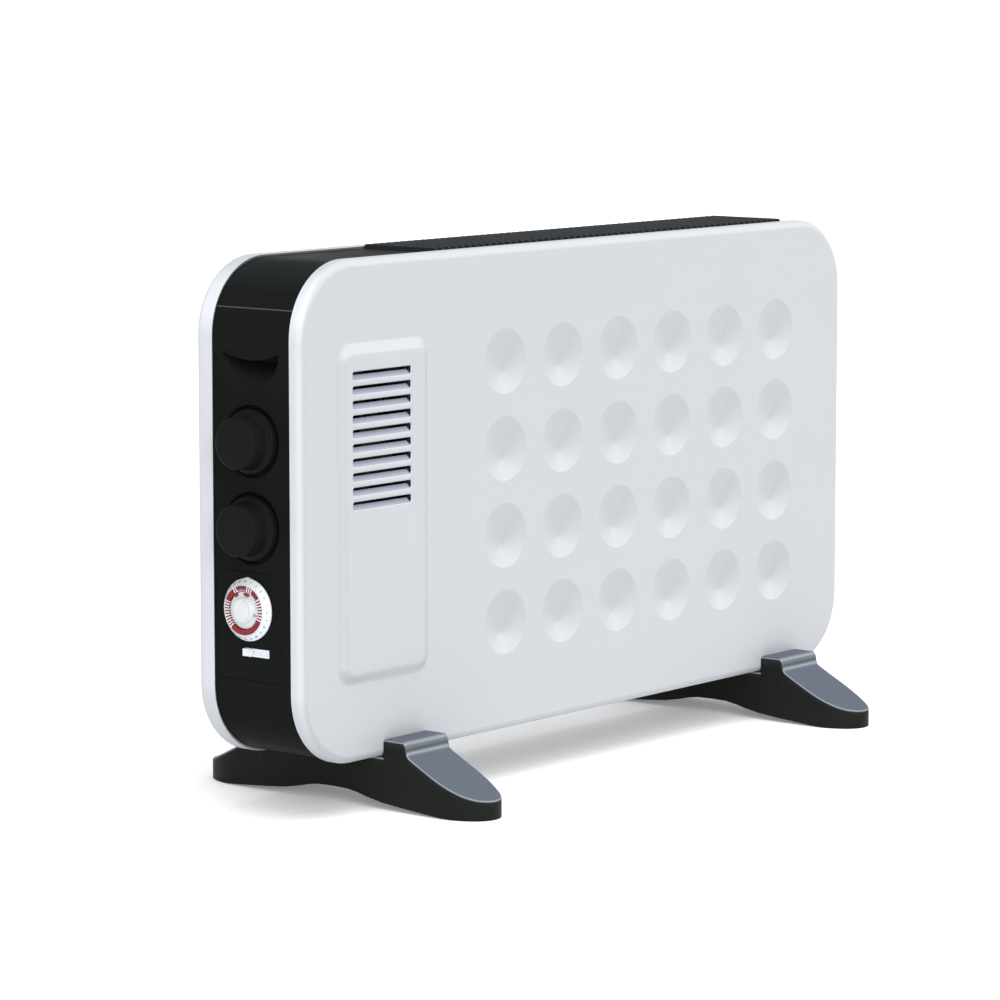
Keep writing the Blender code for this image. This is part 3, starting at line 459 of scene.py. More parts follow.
def sheet_metal(name, colour, roughness=0.35, stretch=(1.0, 40.0, 40.0), bump=0.08):
    """Rolled or turned metal: streaks along one direction and a little tarnish."""
    material, nodes, links, shader = new_material(name)
    coordinates = nodes.new("ShaderNodeTexCoord").outputs["Object"]
    mapping = nodes.new("ShaderNodeMapping")
    mapping.inputs["Scale"].default_value = stretch
    links.new(coordinates, mapping.inputs["Vector"])
    streak = noise(nodes, links, mapping.outputs["Vector"], 26.0, 6.0, 0.7)
    tarnish = noise(nodes, links, coordinates, 14.0, 4.0, 0.6)
    tint = blend_colours(nodes, links, tarnish, shade(colour, 0.82), shade(colour, 1.08))
    links.new(tint, shader.inputs["Base Color"])
    rough = spread(nodes, links, streak, roughness * 0.75, roughness * 1.3)
    links.new(rough, shader.inputs["Roughness"])
    add_relief(nodes, links, shader, streak, bump, 0.0003)
    shader.inputs["Metallic"].default_value = 1.0
    return material


def wound_copper(name):
    """Enamelled wire in tight turns."""
    material, nodes, links, shader = new_material(name)
    coordinates = nodes.new("ShaderNodeTexCoord").outputs["Object"]
    turns = nodes.new("ShaderNodeTexWave")
    turns.wave_type = "BANDS"
    turns.bands_direction = "Y"
    turns.inputs["Scale"].default_value = 420.0
    turns.inputs["Distortion"].default_value = 0.6
    links.new(coordinates, turns.inputs["Vector"])
    tint = blend_colours(nodes, links, turns.outputs["Fac"], (0.20, 0.06, 0.02), (0.62, 0.25, 0.09))
    links.new(tint, shader.inputs["Base Color"])
    add_relief(nodes, links, shader, turns.outputs["Fac"], 0.6, 0.0004)
    shader.inputs["Metallic"].default_value = 0.9
    shader.inputs["Roughness"].default_value = 0.32
    return material


def grey(value):
    return value, value, value


# Painted light and shade, as tones by how far a surface faces up, as (share, colour)
PANEL_PAINTED_SHADING = [
    (-0.5, grey(0.70)),
    (-0.13, grey(0.735)),
    (0.0, grey(0.80)),
    (0.28, grey(0.95)),
    (1.0, grey(0.97)),
]
# Painted light and shade by how far it faces +X, for the panels' rims: faces towards -X lighter
PANEL_SIDE_PAINTED_SHADING = [
    (-1.0, grey(1.0)),
    (-0.7, grey(0.88)),
    (-0.45, grey(0.725)),
    (-0.1, grey(0.745)),
    (0.0, grey(0.78)),
]
# The black band: painted shade on its walls and a painted highlight, lighter and bluer, where the
# corner arc nearly faces up
BAND_PAINTED_SHADING = [
    (-0.3, grey(0.33)),
    (0.0, grey(0.38)),
    (0.6, grey(0.42)),
    (0.88, (0.56, 0.60, 0.66)),
    (1.0, grey(0.34)),
]
# The feet: painted shade makes sides and undersides near black; a painted highlight lies along the
# rounded upper edges, and the upward slopes keep a dimmer slate tone
FOOT_PAINTED_SHADING = [
    (0.05, (0.022, 0.024, 0.019)),
    (0.20, (0.10, 0.11, 0.12)),
    (0.46, (0.62, 0.64, 0.68)),
    (0.66, (0.32, 0.34, 0.38)),
    (0.80, (0.22, 0.24, 0.29)),
]

# The panels', band's and feet's colours carry painted light and shade through their tone tables above
WHITE = moulded(
    "panel_white", (0.690, 0.715, 0.748), 0.38, 1.40, 1100.0, 0.03, 0.012, PANEL_PAINTED_SHADING, PANEL_SIDE_PAINTED_SHADING
)
# Painted shade: the white louvre blades are dimmed to grey-blue for the shade they sit in behind the
# slots
BLADE_PAINTED_SHADE = moulded("louvre_white", (0.40, 0.42, 0.50), 0.40, 1.35, 1100.0, 0.03, 0.012)
BAND = moulded("band_black", (0.0225, 0.0250, 0.0242), 0.36, 1.06, 1000.0, 0.05, 0.12, BAND_PAINTED_SHADING)
# Painted highlight: the bead is lighter than the band round it, standing for the light line along the
# crease
BEAD_PAINTED_HIGHLIGHT = moulded("band_edge_painted_highlight", (0.052, 0.056, 0.054), 0.40, 1.20, 1000.0, 0.04, 0.10)
KNOB = moulded("knob_black", (0.0082, 0.0092, 0.0088), 0.32, 1.10, 1200.0, 0.03, 0.10)
GRILLE = moulded("grille_black", (0.0275, 0.0320, 0.0345), 0.42, 1.10, 900.0, 0.10, 0.12)
FOOT = moulded("foot_slate", (0.465, 0.487, 0.507), 0.45, 1.15, 700.0, 0.18, 0.10, FOOT_PAINTED_SHADING)
DIAL = moulded("dial_white", (0.66, 0.69, 0.715), 0.30, 1.42, 1400.0, 0.02, 0.02)
HUB = moulded("hub_white", (0.60, 0.63, 0.65), 0.28, 1.42, 1400.0, 0.02, 0.03)
RED = moulded("segment_red", (0.21, 0.013, 0.018), 0.32, 1.33, 1400.0, 0.02, 0.08)
INK = moulded("scale_ink", (0.28, 0.31, 0.33), 0.50, 1.35, 1400.0, 0.02, 0.05)
INNER = moulded("inner_grey", (0.016, 0.018, 0.020), 0.50, 1.35, 700.0, 0.15, 0.15)
CREAM = moulded("cream_plastic", (0.50, 0.46, 0.38), 0.45, 1.42, 800.0, 0.10, 0.05)
CERAMIC = moulded("ceramic_unglazed", (0.53, 0.49, 0.42), 0.75, 1.35, 500.0, 0.35, 0.06)
GLAND = moulded("gland_black", (0.011, 0.011, 0.012), 0.50, 1.33, 900.0, 0.12, 0.12)
STEEL = sheet_metal("steel_sheet", (0.50, 0.51, 0.52), 0.34)
ZINC = sheet_metal("zinc_plate", (0.58, 0.57, 0.52), 0.28, (30.0, 30.0, 30.0), 0.05)
IRON = sheet_metal("motor_laminations", (0.20, 0.20, 0.21), 0.50, (1.0, 260.0, 1.0), 0.5)
ALUMINIUM = sheet_metal("extruded_aluminium", (0.66, 0.66, 0.67), 0.38)
COPPER = wound_copper("wound_copper")
WIRE_BROWN = moulded("wire_brown", (0.10, 0.036, 0.014), 0.45, 1.42, 600.0, 0.08, 0.06)
WIRE_BLACK = moulded("wire_black", (0.010, 0.010, 0.010), 0.45, 1.35, 600.0, 0.08, 0.10)
WIRE_BLUE = moulded("wire_blue", (0.014, 0.05, 0.21), 0.45, 1.42, 600.0, 0.08, 0.06)

SLOT_MATERIALS = {
    "grille_black": GRILLE,
    "steel": STEEL,
    "inner_grey": INNER,
    "cream_plastic": CREAM,
    "gland_black": GLAND,
    "screw_steel": ZINC,
    "motor_iron": IRON,
    "aluminium": ALUMINIUM,
    "copper": COPPER,
    "ceramic": CERAMIC,
    "wire_brown": WIRE_BROWN,
    "wire_black": WIRE_BLACK,
    "wire_blue": WIRE_BLUE,
    "band_black": BAND,
    "panel_white": WHITE,
    "knob_black": KNOB,
    "foot_slate": FOOT,
    "dial_white": DIAL,
    "segment_red": RED,
}


def dress_cad_nodes():
    """Every CAD node gets the procedural material of its slot; most inner ones stay as they are."""
    for part in frame["record"]["subparts"]:
        mesh = frame["nodes"][part["node"]].data
        mesh.materials.clear()
        mesh.materials.append(SLOT_MATERIALS[part["material_slot"]])


# Panels


def panel_rings(bm, face_y, inward, rim_depth):
    """The rim and rounded edge of a shallow tray; returns the ring round its flat face."""
    half = WIDTH / 2
    stations = [(rim_depth, 0.0003), (rim_depth - 0.0004, 0.0)]
    for i in range(EDGE_STEPS + 1):
        angle = math.pi / 2 * i / EDGE_STEPS
        stations.append((EDGE_ROUND * (1 - math.sin(angle)), EDGE_ROUND * (1 - math.cos(angle))))
    rings = []
    for depth, inset in stations:
        low = (-half + inset, inset)
        high = (half - inset, HEIGHT - inset)
        outline = rounded_rectangle(low, high, CORNER_RADIUS - inset, CORNER_STEPS)
        rings.append(add_ring(bm, outline, "Y", face_y + inward * depth))
    bridge_all(bm, rings)
    return rings[-1]


def dimple_depth(share):
    """Depth of the dish at this share of its radius: nearly a cone, with a rounded middle."""
    return DIMPLE_DEPTH * (1 - (0.12**1.6 + share**1.6) ** (1 / 1.6)) / (1 - 0.12)


def add_dimple(bm, centre):
    """A round dish whose deepest point lies low, so its long upper wall faces slightly down."""
    shares = [0.985, 0.96, 0.88, 0.78, 0.66, 0.54, 0.42, 0.30, 0.20, 0.10]
    rings = [add_ring(bm, circle(centre, DIMPLE_RADIUS, DIMPLE_SIDES), "Y", FRONT)]
    for share in shares:
        middle = (centre[0], centre[1] - DIMPLE_RADIUS * DIMPLE_DROP * (1 - share))
        outline = circle(middle, DIMPLE_RADIUS * share, DIMPLE_SIDES)
        rings.append(add_ring(bm, outline, "Y", FRONT + dimple_depth(share)))
    bridge_all(bm, rings)
    low_z = centre[1] - DIMPLE_RADIUS * DIMPLE_DROP
    bottom = bm.verts.new((centre[0], FRONT + dimple_depth(0), low_z))
    for i in range(DIMPLE_SIDES):
        bm.faces.new((rings[-1][i], rings[-1][(i + 1) % DIMPLE_SIDES], bottom))
    return rings[0]


def add_slot(bm, low, high, corner, steps, lip, face_y, inward):
    """A slot with a small rolled lip of (inset, depth) steps; returns the loop in the face."""
    loops = []
    for inset, depth in lip:
        corner_low, corner_high = (low[0] + inset, low[1] + inset), (high[0] - inset, high[1] - inset)
        outline = rounded_rectangle(corner_low, corner_high, corner - inset, steps)
        loops.append(add_ring(bm, outline, "Y", face_y + inward * depth))
    bridge_all(bm, loops)
    return loops[0]


def add_step(bm, low, high, corner, slope, rise, face_y, steps):
    """A smooth step of the face towards -Y; returns its rings, the outermost first."""
    rings = []
    for i in range(steps + 1):
        share = i / steps
        inset = slope * share
        step_low, step_high = (low[0] + inset, low[1] + inset), (high[0] - inset, high[1] - inset)
        outline = rounded_rectangle(step_low, step_high, corner - inset, 10)
        rings.append(add_ring(bm, outline, "Y", face_y - rise * share * share * (3 - 2 * share)))
    bridge_all(bm, rings)
    return rings


def outlet_slot(index):
    middle = OUTLET_FIRST_Z + index * OUTLET_PITCH
    low = (OUTLET_X[0], middle - OUTLET_HEIGHT / 2)
    high = (OUTLET_X[1], middle + OUTLET_HEIGHT / 2)
    return low, high


def add_pad(bm):
    """The raised pad with its slots; returns the loop where it meets the flat face."""
    rings = add_step(bm, PAD_LOW, PAD_HIGH, PAD_ROUND, PAD_SLOPE, PAD_RISE, FRONT, 8)
    slots = []
    for i in range(OUTLET_COUNT):
        low, high = outlet_slot(i)
        slots.append(add_slot(bm, low, high, OUTLET_ROUND, 5, OUTLET_LIP, FRONT - PAD_RISE, 1))
    fill_flat(bm, [rings[-1]] + slots)
    return rings[0]


def make_front_panel():
    bm = bmesh.new()
    loops = [panel_rings(bm, FRONT, 1, FRONT_RIM)]
    for column in range(DIMPLE_COLUMNS):
        for row in range(DIMPLE_ROWS):
            x = DIMPLE_FIRST[0] + column * DIMPLE_PITCH[0]
            z = DIMPLE_FIRST[1] + row * DIMPLE_PITCH[1]
            loops.append(add_dimple(bm, (x, z)))
    loops.append(add_pad(bm))
    fill_flat(bm, loops)
    panel = place_piece(
        "front_panel_skin", bm, WHITE, "case", ["front_panel"], outward=(0, -1, 0)
    )
    solidify(panel, SHEET)
    weight_normals(panel)
    bosses = bmesh.new()
    start, end = FRONT + SHEET - GAP, REAR - SHEET - GAP
    for x in PANEL_SCREW_X:
        for z in PANEL_SCREW_Z:
            add_prism(bosses, circle((x, z), BOSS_RADIUS, 32), "Y", start, end)
    place_piece("front_panel_bosses", bosses, WHITE, "case", [])


def make_outlet_louvre():
    """Slanted blades behind the outlet slots, held in a thin frame; the blades' dimmed white and the
    frame's near-black are painted shade.
    """
    crest = FRONT - PAD_RISE
    front, back, climb, thick = crest + 0.0005, crest + 0.0040, 0.0028, 0.0009
    bm = bmesh.new()
    for i in range(OUTLET_COUNT):
        low, high = outlet_slot(i)
        foot = low[1] - 0.0003
        section = [
            (front, foot),
            (back, low[1] + climb),
            (back, low[1] + climb - thick),
            (front + 0.0004, foot - thick * 0.4),
        ]
        add_prism(bm, section, "X", low[0] + 0.0001, high[0] - 0.0001)
    # The blades take the dimmed white, painted shade.
    louvre = place_piece("outlet_louvre_blades", bm, BLADE_PAINTED_SHADE, "case", ["outlet_louvre"])
    soften(louvre, 0.00025, 2)
    box_low, box_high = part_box("outlet_louvre")
    low_z, high_z = box_low.z - ORIGIN.z + 0.0002, box_high.z - ORIGIN.z - 0.0002
    # Painted shade: the frame bars take the near-black inner material, standing for the shadow in the
    # slots' ends
    shaded_frame_bars = bmesh.new()
    for x in (OUTLET_X[0] - 0.0021, OUTLET_X[1] + 0.0001):
        add_box(shaded_frame_bars, (x, crest + 0.0023, low_z), (x + 0.0020, crest + 0.0068, high_z))
    bars = place_piece("outlet_louvre_frame_shade", shaded_frame_bars, INNER, "case", [])
    soften(bars, 0.00025, 2)


def make_rear_panel():
    """The back tray: one row of inlet slots, a raised field above them and four screws."""
    bm = bmesh.new()
    loops = [panel_rings(bm, REAR, -1, REAR_RIM)]
    for i in range(INLET_COUNT):
        x = INLET_MIDDLE + (i - (INLET_COUNT - 1) / 2) * INLET_PITCH
        low = (x - INLET_HALF_WIDTH, INLET_Z[0])
        high = (x + INLET_HALF_WIDTH, INLET_Z[1])
        loops.append(add_slot(bm, low, high, INLET_ROUND, 6, INLET_LIP, REAR, -1))
    for x in PANEL_SCREW_X:
        for z in PANEL_SCREW_Z:
            loops.append(add_ring(bm, circle((x, z), PANEL_SCREW_HOLE, 24), "Y", REAR))
    loops.append(add_ring(bm, circle(GLAND_CENTRE, GLAND_HOLE, 32), "Y", REAR))
    loops.append(add_field(bm))
    fill_flat(bm, loops)
    panel = place_piece(
        "rear_panel_skin", bm, WHITE, "case", ["rear_panel"], outward=(0, 1, 0)
    )
    solidify(panel, SHEET)
    weight_normals(panel)


def add_field(bm):
    """A field pressed into the back, which stiffens the large flat wall."""
    rings = add_step(bm, FIELD_LOW, FIELD_HIGH, FIELD_ROUND, FIELD_SLOPE, FIELD_DEPTH, REAR, 6)
    fill_flat(bm, [rings[-1]])
    return rings[0]


# Band


def handle_outline(grow=0.0):
    """The smile-shaped mouth of the finger recess, counter-clockwise from its right corner."""
    count = 16
    radius = HANDLE_RADIUS + grow
    top = []
    for i in range(1, count):
        y = radius * (1 - 2 * i / count)
        top.append((y, HANDLE_Z + grow - HANDLE_SAG * (1 - (y / radius) ** 2)))
    return top + arc((0, HANDLE_Z), radius, 180, 360, 36)


def add_handle(bm, side):
    """A finger recess that slopes in and up behind the wall; returns its mouth loop."""
    face_x = side * (WIDTH / 2 - BAND_INSET)
    rings = []
    for grow, depth in HANDLE_LIP:
        rings.append(add_ring(bm, handle_outline(grow), "X", face_x - side * depth))
    mouth = handle_outline()
    steps = 10
    for i in range(steps + 1):
        turn = i / steps * math.pi / 2
        sink, close = 1 - math.cos(turn), math.sin(turn)
        outline = []
        for y, z in mouth:
            brow = HANDLE_Z - HANDLE_SAG * (1 - (y / HANDLE_RADIUS) ** 2)
            height = brow + (z - brow) * (1 - HANDLE_CLOSING * close) + HANDLE_RISE * sink
            outline.append((y * (1 - HANDLE_NARROWING * sink), height))
        depth = HANDLE_LIP_DEPTH + HANDLE_DEPTH * sink
        rings.append(add_ring(bm, outline, "X", face_x - side * depth))
    bridge_all(bm, rings)
    fill_flat(bm, [rings[-1]])
    return rings[0]


def add_well(bm, centre):
    """A round well for a knob, with a hole for the spindle in its floor."""
    stations = [
        (WELL_RADIUS + 0.0016, 0.0),
        (WELL_RADIUS + 0.0007, 0.0),
        (WELL_RADIUS + 0.0002, 0.0002),
        (WELL_RADIUS, 0.0007),
        (WELL_RADIUS - 0.0008, WELL_DEPTH - 0.0007),
        (WELL_RADIUS - 0.0011, WELL_DEPTH - 0.0002),
        (WELL_RADIUS - 0.0018, WELL_DEPTH),
    ]
    rings = []
    for radius, depth in stations:
        rings.append(add_ring(bm, circle(centre, radius, 72), "X", BAND_SIDE + depth))
    bridge_all(bm, rings)
    hole = add_ring(bm, circle(centre, 0.0042, 32), "X", BAND_SIDE + WELL_DEPTH)
    fill_flat(bm, [rings[-1], hole])
    return rings[0]


def add_strip(bm, path):
    reach = GAP * 0.8
    front = [bm.verts.new((x, BAND_FRONT - reach, z)) for x, z in path]
    rear = [bm.verts.new((x, BAND_REAR + reach, z)) for x, z in path]
    for i in range(len(path) - 1):
        bm.faces.new((front[i], front[i + 1], rear[i + 1], rear[i]))
    return front, rear


def band_corner(side, radius, centre_z, start, stop):
    """Section points round a corner."""
    centre_x = WIDTH / 2 - CORNER_RADIUS
    return [(side * x, z) for x, z in arc((centre_x, centre_z), radius, start, stop, 24)]


def end_cap(end, side, openings):
    """One black end of the case: wraps the corner onto the top and the underside."""
    node = f"{end}_end_cap"
    radius = CORNER_RADIUS - BAND_INSET
    inner_side = 1 if side < 0 else 0
    upper = [(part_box(node)[inner_side].x - ORIGIN.x, HEIGHT - BAND_INSET)]
    upper += band_corner(side, radius, HEIGHT - CORNER_RADIUS, 90, 0)
    lower = band_corner(side, radius, CORNER_RADIUS, 0, -90)
    lower += [(side * CAP_BASE_END, BAND_INSET)]
    bm = bmesh.new()
    upper_front, upper_rear = add_strip(bm, upper)
    lower_front, lower_rear = add_strip(bm, lower)
    outline = [upper_front[-1], upper_rear[-1], lower_rear[0], lower_front[0]]
    fill_flat(bm, [outline] + openings(bm))
    cap = place_piece(f"{end}_end_shell", bm, BAND, "case", [node], outward=(side, 0, 0))
    solidify(cap, CAP_SHEET)
    weight_normals(cap)
    bead = bmesh.new()
    add_prism(bead, bead_section(side, radius), "Y", BAND_FRONT, BAND_REAR)
    # The bead's lighter colour is a painted highlight
    place_piece(f"{end}_end_bead", bead, BEAD_PAINTED_HIGHLIGHT, "case", [])


def bead_section(side, radius):
    """Section of the low bead that runs across the band, just above its straight wall."""
    outline = []
    for turn, rise in BEAD_SECTION:
        angle = math.radians(BEAD_ANGLE + turn)
        x = side * (WIDTH / 2 - CORNER_RADIUS + (radius + rise) * math.cos(angle))
        outline.append((x, HEIGHT - CORNER_RADIUS + (radius + rise) * math.sin(angle)))
    return outline


def control_openings(bm):
    low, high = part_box("timer_fascia")
    window_low = (low.y - GAP, low.z - ORIGIN.z - GAP)
    window_high = (high.y + GAP, high.z - ORIGIN.z + GAP)
    window = rounded_rectangle(window_low, window_high, 0.004, 8)
    return [
        add_handle(bm, -1),
        add_well(bm, centre_of("thermostat_knob")),
        add_well(bm, centre_of("selector_knob")),
        add_ring(bm, window, "X", BAND_SIDE),
    ]


def plain_openings(bm):
    return [add_handle(bm, 1)]


def centre_of(node):
    """Depth and height of the axis of a round control."""
    low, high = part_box(node)
    return (low.y + high.y) / 2, (low.z + high.z) / 2 - ORIGIN.z


def make_top_grille():
    """A frame with raised cross ribs, whose crowns stand just above the panels' edges."""
    low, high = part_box("top_grille")
    left, right = low.x - ORIGIN.x, high.x - ORIGIN.x
    top = HEIGHT - BAND_INSET
    bottom = top - GRILLE_DEPTH
    rail = GRILLE_RAIL
    bm = bmesh.new()
    add_box(bm, (left, BAND_FRONT, bottom), (right, BAND_FRONT + rail, top))
    add_box(bm, (left, BAND_REAR - rail, bottom), (right, BAND_REAR, top))
    add_box(bm, (left, BAND_FRONT + rail, bottom), (left + rail, BAND_REAR - rail, top))
    add_box(bm, (right - rail, BAND_FRONT + rail, bottom), (right, BAND_REAR - rail, top))
    for y in (-0.011, 0.0095):
        add_box(bm, (left + rail, y - 0.0010, bottom), (right - rail, y + 0.0010, bottom + 0.0016))
    count = int((right - left - 2 * rail) / RIB_PITCH)
    start = (left + right) / 2 - (count - 1) * RIB_PITCH / 2
    for i in range(count):
        add_rib(bm, start + i * RIB_PITCH, bottom, top)
    grille = place_piece("top_grille_ribs", bm, GRILLE, "case", ["top_grille"])
    soften(grille, 0.0003, 2)


def add_rib(bm, x, bottom, top):
    """A rib across the grille: level ends on the frame and a slightly raised, rounded crown."""
    front, rear = BAND_FRONT + 0.0008, BAND_REAR - 0.0008
    crown = top + RIB_CROWN
    section = [(front, bottom + 0.0004), (front, top + 0.0002)]
    section += fillet((front + 0.0016, crown), (front, top + 0.0002), (rear, crown), 0.002, 3)
    section += fillet((rear - 0.0016, crown), (front, crown), (rear, top + 0.0002), 0.002, 3)
    section += [(rear, top + 0.0002), (rear, bottom + 0.0004)]
    add_prism(bm, section, "X", x - RIB_WIDTH / 2, x + RIB_WIDTH / 2)


# Controls


def make_knob(name, node, body):
    """A stepped round knob."""
    centre = centre_of(node)
    low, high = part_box(node)
    reach = BAND_SIDE + ORIGIN.x - low.x
    skirt = (high.z - low.z) / 2 * KNOB_SWELL
    cap = skirt - KNOB_STEP
    back = -WELL_DEPTH + 0.0005
    points = [
        (0, reach),
        (cap - 0.0008, reach - 0.0002),
        (cap + 0.0002, 0.0034),
        (skirt, 0.0022),
        (skirt, back),
        (0.0036, back),
    ]
    profile = rounded_profile(points, [0.0014, 0.0012, 0.0009, 0.0004])
    profile = [(radius, BAND_SIDE - distance) for radius, distance in profile]
    bm = bmesh.new()
    add_turned(bm, profile, "X", centre, KNOB_SIDES)
    knob = place_piece(name, bm, KNOB, body, [node], sharp=50)
    weight_normals(knob)


def make_fascia():
    """The timer's plate: softly rounded edges, a hole for the dial and a slot for the switch."""
    low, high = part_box("timer_fascia")
    bottom, top = low.z - ORIGIN.z, high.z - ORIGIN.z
    face = low.x - ORIGIN.x
    bm = bmesh.new()
    rings = []
    for inset, depth in ((-0.0002, 0.0008), (-0.0001, 0.0003), (0.0001, 0.0), (0.0012, 0.0)):
        corner = (low.y + inset, bottom + inset)
        opposite = (high.y - inset, top - inset)
        outline = rounded_rectangle(corner, opposite, 0.0037 - inset, 8)
        rings.append(add_ring(bm, outline, "X", face + depth))
    bridge_all(bm, rings)
    plate_low, plate_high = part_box("mode_switch_plate")
    slot_low = (plate_low.y - GAP, plate_low.z - ORIGIN.z - GAP)
    slot_high = (plate_high.y + GAP, plate_high.z - ORIGIN.z + GAP)
    slot = add_ring(bm, rounded_rectangle(slot_low, slot_high, 0.0008, 4), "X", face)
    hole = add_ring(bm, circle(centre_of("timer_dial"), 0.0048, 32), "X", face)
    fill_flat(bm, [rings[-1], slot, hole])
    fascia = place_piece(
        "timer_fascia_plate", bm, BAND, "case", ["timer_fascia"], outward=(-1, 0, 0)
    )
    solidify(fascia, 0.0016)
    weight_normals(fascia)


# The timer's pieces are drawn round the dial's axis, with their distance counted from the band


def dial_place():
    y, z = centre_of("timer_dial")
    return Vector((BAND_LOW.x, y, z + ORIGIN.z))


def turned_face(points, radii):
    """A rounded profile given as (radius, height over the band)."""
    return [(radius, -height) for radius, height in rounded_profile(points, radii)]


def around(angle, radius):
    """A point round the dial; angles run clockwise from the top, as seen from outside."""
    turn = math.radians(90 + angle)
    return radius * math.cos(turn), radius * math.sin(turn)


def wedge(bm, radii, start, stop, low, high, steps=2):
    """A block between two radii and two angles."""
    angles = [start + (stop - start) * i / steps for i in range(steps + 1)]
    outline = [around(angle, radii[1]) for angle in angles]
    outline += [around(angle, radii[0]) for angle in reversed(angles)]
    add_prism(bm, outline, "X", -low, -high)


# Stretches of the ring whose tappets are out, and how far in they reach
SWITCHED_ON = [(-24, 6, 0.0129), (27, 54, 0.0129), (113, 217, 0.0117), (289, 322, 0.0117)]


def tappet_reach(angle):
    """Inner radius of a tappet that is out, or None for one that isn't."""
    for start, stop, radius in SWITCHED_ON:
        if start <= angle < stop or start <= angle - 360 < stop:
            return radius
    return None


def make_dial():
    """The 24-hour dial: a white cone with numbers, a raised ring of tappets and a centre disc."""
    place = dial_place()
    low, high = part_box("timer_dial")
    radius = (high.z - low.z) / 2
    points = [
        (0.0044, 0.0008),
        (radius, 0.0008),
        (radius, 0.0018),
        (0.0156, 0.0054),
        (0.0149, 0.0056),
        (0.0149, 0.0030),
        (0.0028, 0.0030),
    ]
    profile = turned_face(points, [0.0003, 0.0006, 0.0010, 0.0003, 0.0002])
    bm = bmesh.new()
    add_turned(bm, profile, "X", (0, 0), 120, closed=True)
    wheel = "timer_wheel"
    place_piece("timer_dial_ring", bm, DIAL, wheel, ["timer_dial"], sharp=50, at=place)
    make_tappets(place)
    make_numerals(place)
    make_hub(place)


def make_tappets(place):
    """The ring of tappets: the ones that are out stand side by side, the others lie further in."""
    out, back = bmesh.new(), bmesh.new()
    step = 360 / TAPPETS
    for i in range(TAPPETS):
        start = i * step
        reach = tappet_reach(start + step / 2)
        if reach:
            radii = (reach, TAPPET_OUTER)
            wedge(out, radii, start + 0.15, start + step - 0.15, TAPPET_FOOT, 0.0060)
        else:
            radii = (TAPPET_INNER, TAPPET_OUTER)
            wedge(out, radii, start + 0.2, start + step * 0.50, TAPPET_FOOT, 0.0057)
            wedge(back, radii, start + step * 0.54, start + step - 0.1, TAPPET_FOOT, 0.0058)
    slots = ["timer_segment_ring"]
    place_piece("timer_tappets_out", out, RED, "timer_wheel", slots, at=place)
    place_piece("timer_tappets_in", back, DIAL, "timer_wheel", [], at=place)


def make_numerals(place):
    """Plain hour numbers and half-hour marks on the dial's cone."""
    marks = bmesh.new()
    for i in range(TAPPETS):
        angle = i * 360 / TAPPETS
        wedge(marks, (0.01545, 0.01600), angle - 0.3, angle + 0.3, 0.0048, 0.00550, 1)
    numbers = bmesh.new()
    for hour in range(1, HOURS + 1):
        add_number(numbers, str(hour), hour * 360 / HOURS)
    place_piece("timer_scale_marks", marks, INK, "timer_wheel", [], at=place)
    place_piece("timer_scale_numbers", numbers, INK, "timer_wheel", [], at=place)


def add_number(bm, text, angle):
    """One raised number on the cone, its top towards the dial's rim."""
    curve = bpy.data.curves.new("number", "FONT")
    curve.body = text
    curve.size = 0.0022
    curve.extrude = 0.00008
    curve.align_x = "CENTER"
    curve.align_y = "CENTER"
    curve.resolution_u = 3
    holder = bpy.data.objects.new("number", curve)
    mesh = bpy.data.meshes.new_from_object(holder)
    upright = Matrix(((0, 0, -1, 0), (-1, 0, 0, 0), (0, 1, 0, 0), (0, 0, 0, 1)))
    slope = Matrix.Rotation(math.radians(45), 4, "Y")
    turn = Matrix.Rotation(math.radians(angle), 4, "X")
    out = Matrix.Translation((-0.00372, 0, 0))
    mesh.transform(out @ turn @ Matrix.Translation((0, 0, 0.01740)) @ slope @ upright)
    bm.from_mesh(mesh)
    bpy.data.meshes.remove(mesh)
    bpy.data.objects.remove(holder)
    bpy.data.curves.remove(curve)


def make_hub(place):
    """The fixed centre disc with its arrow, two red markers and a ring of fine ticks."""
    points = [
        (0, 0.0071),
        (0.0073, 0.0070),
        (0.0080, 0.0048),
        (0.0113, 0.0046),
        (0.0114, 0.0032),
        (0.0024, 0.0032),
        (0.0024, -0.0021),
        (0, -0.0021),
    ]
    profile = turned_face(points, [0.0008, 0.0006, 0.0004, 0.0002, 0.0, 0.0])
    bm = bmesh.new()
    add_turned(bm, profile, "X", (0, 0), 96)
    place_piece("timer_hub_disc", bm, HUB, "case", ["timer_hub"], sharp=50, at=place)
    ticks = bmesh.new()
    for i in range(16):
        angle = 15 + i * 10
        wedge(ticks, (0.0062, 0.0067), angle - 1.6, angle + 1.6, 0.0068, 0.00715, 1)
    tip, left, right = around(105, 0.0112), around(97, 0.0082), around(113, 0.0082)
    add_prism(ticks, [tip, left, right], "X", -0.0042, -0.0052)
    place_piece("timer_hub_marks", ticks, INK, "case", [], at=place)
    days = bmesh.new()
    wedge(days, (0.0092, 0.0108), 3, 24, 0.0038, 0.0056)
    wedge(days, (0.0096, 0.0113), 321, 333, 0.0038, 0.0056)
    place_piece("timer_hub_flags", days, RED, "case", [], at=place)
    index = bmesh.new()
    low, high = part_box("timer_dial")
    rim = (high.z - low.z) / 2
    side, base, tip = rim * 0.26, rim * 0.96, rim + 0.0006
    add_prism(index, [(-side, base), (side, base), (0, tip)], "X", -0.0006, -0.0017)
    place_piece("timer_index", index, DIAL, "case", [], at=place)


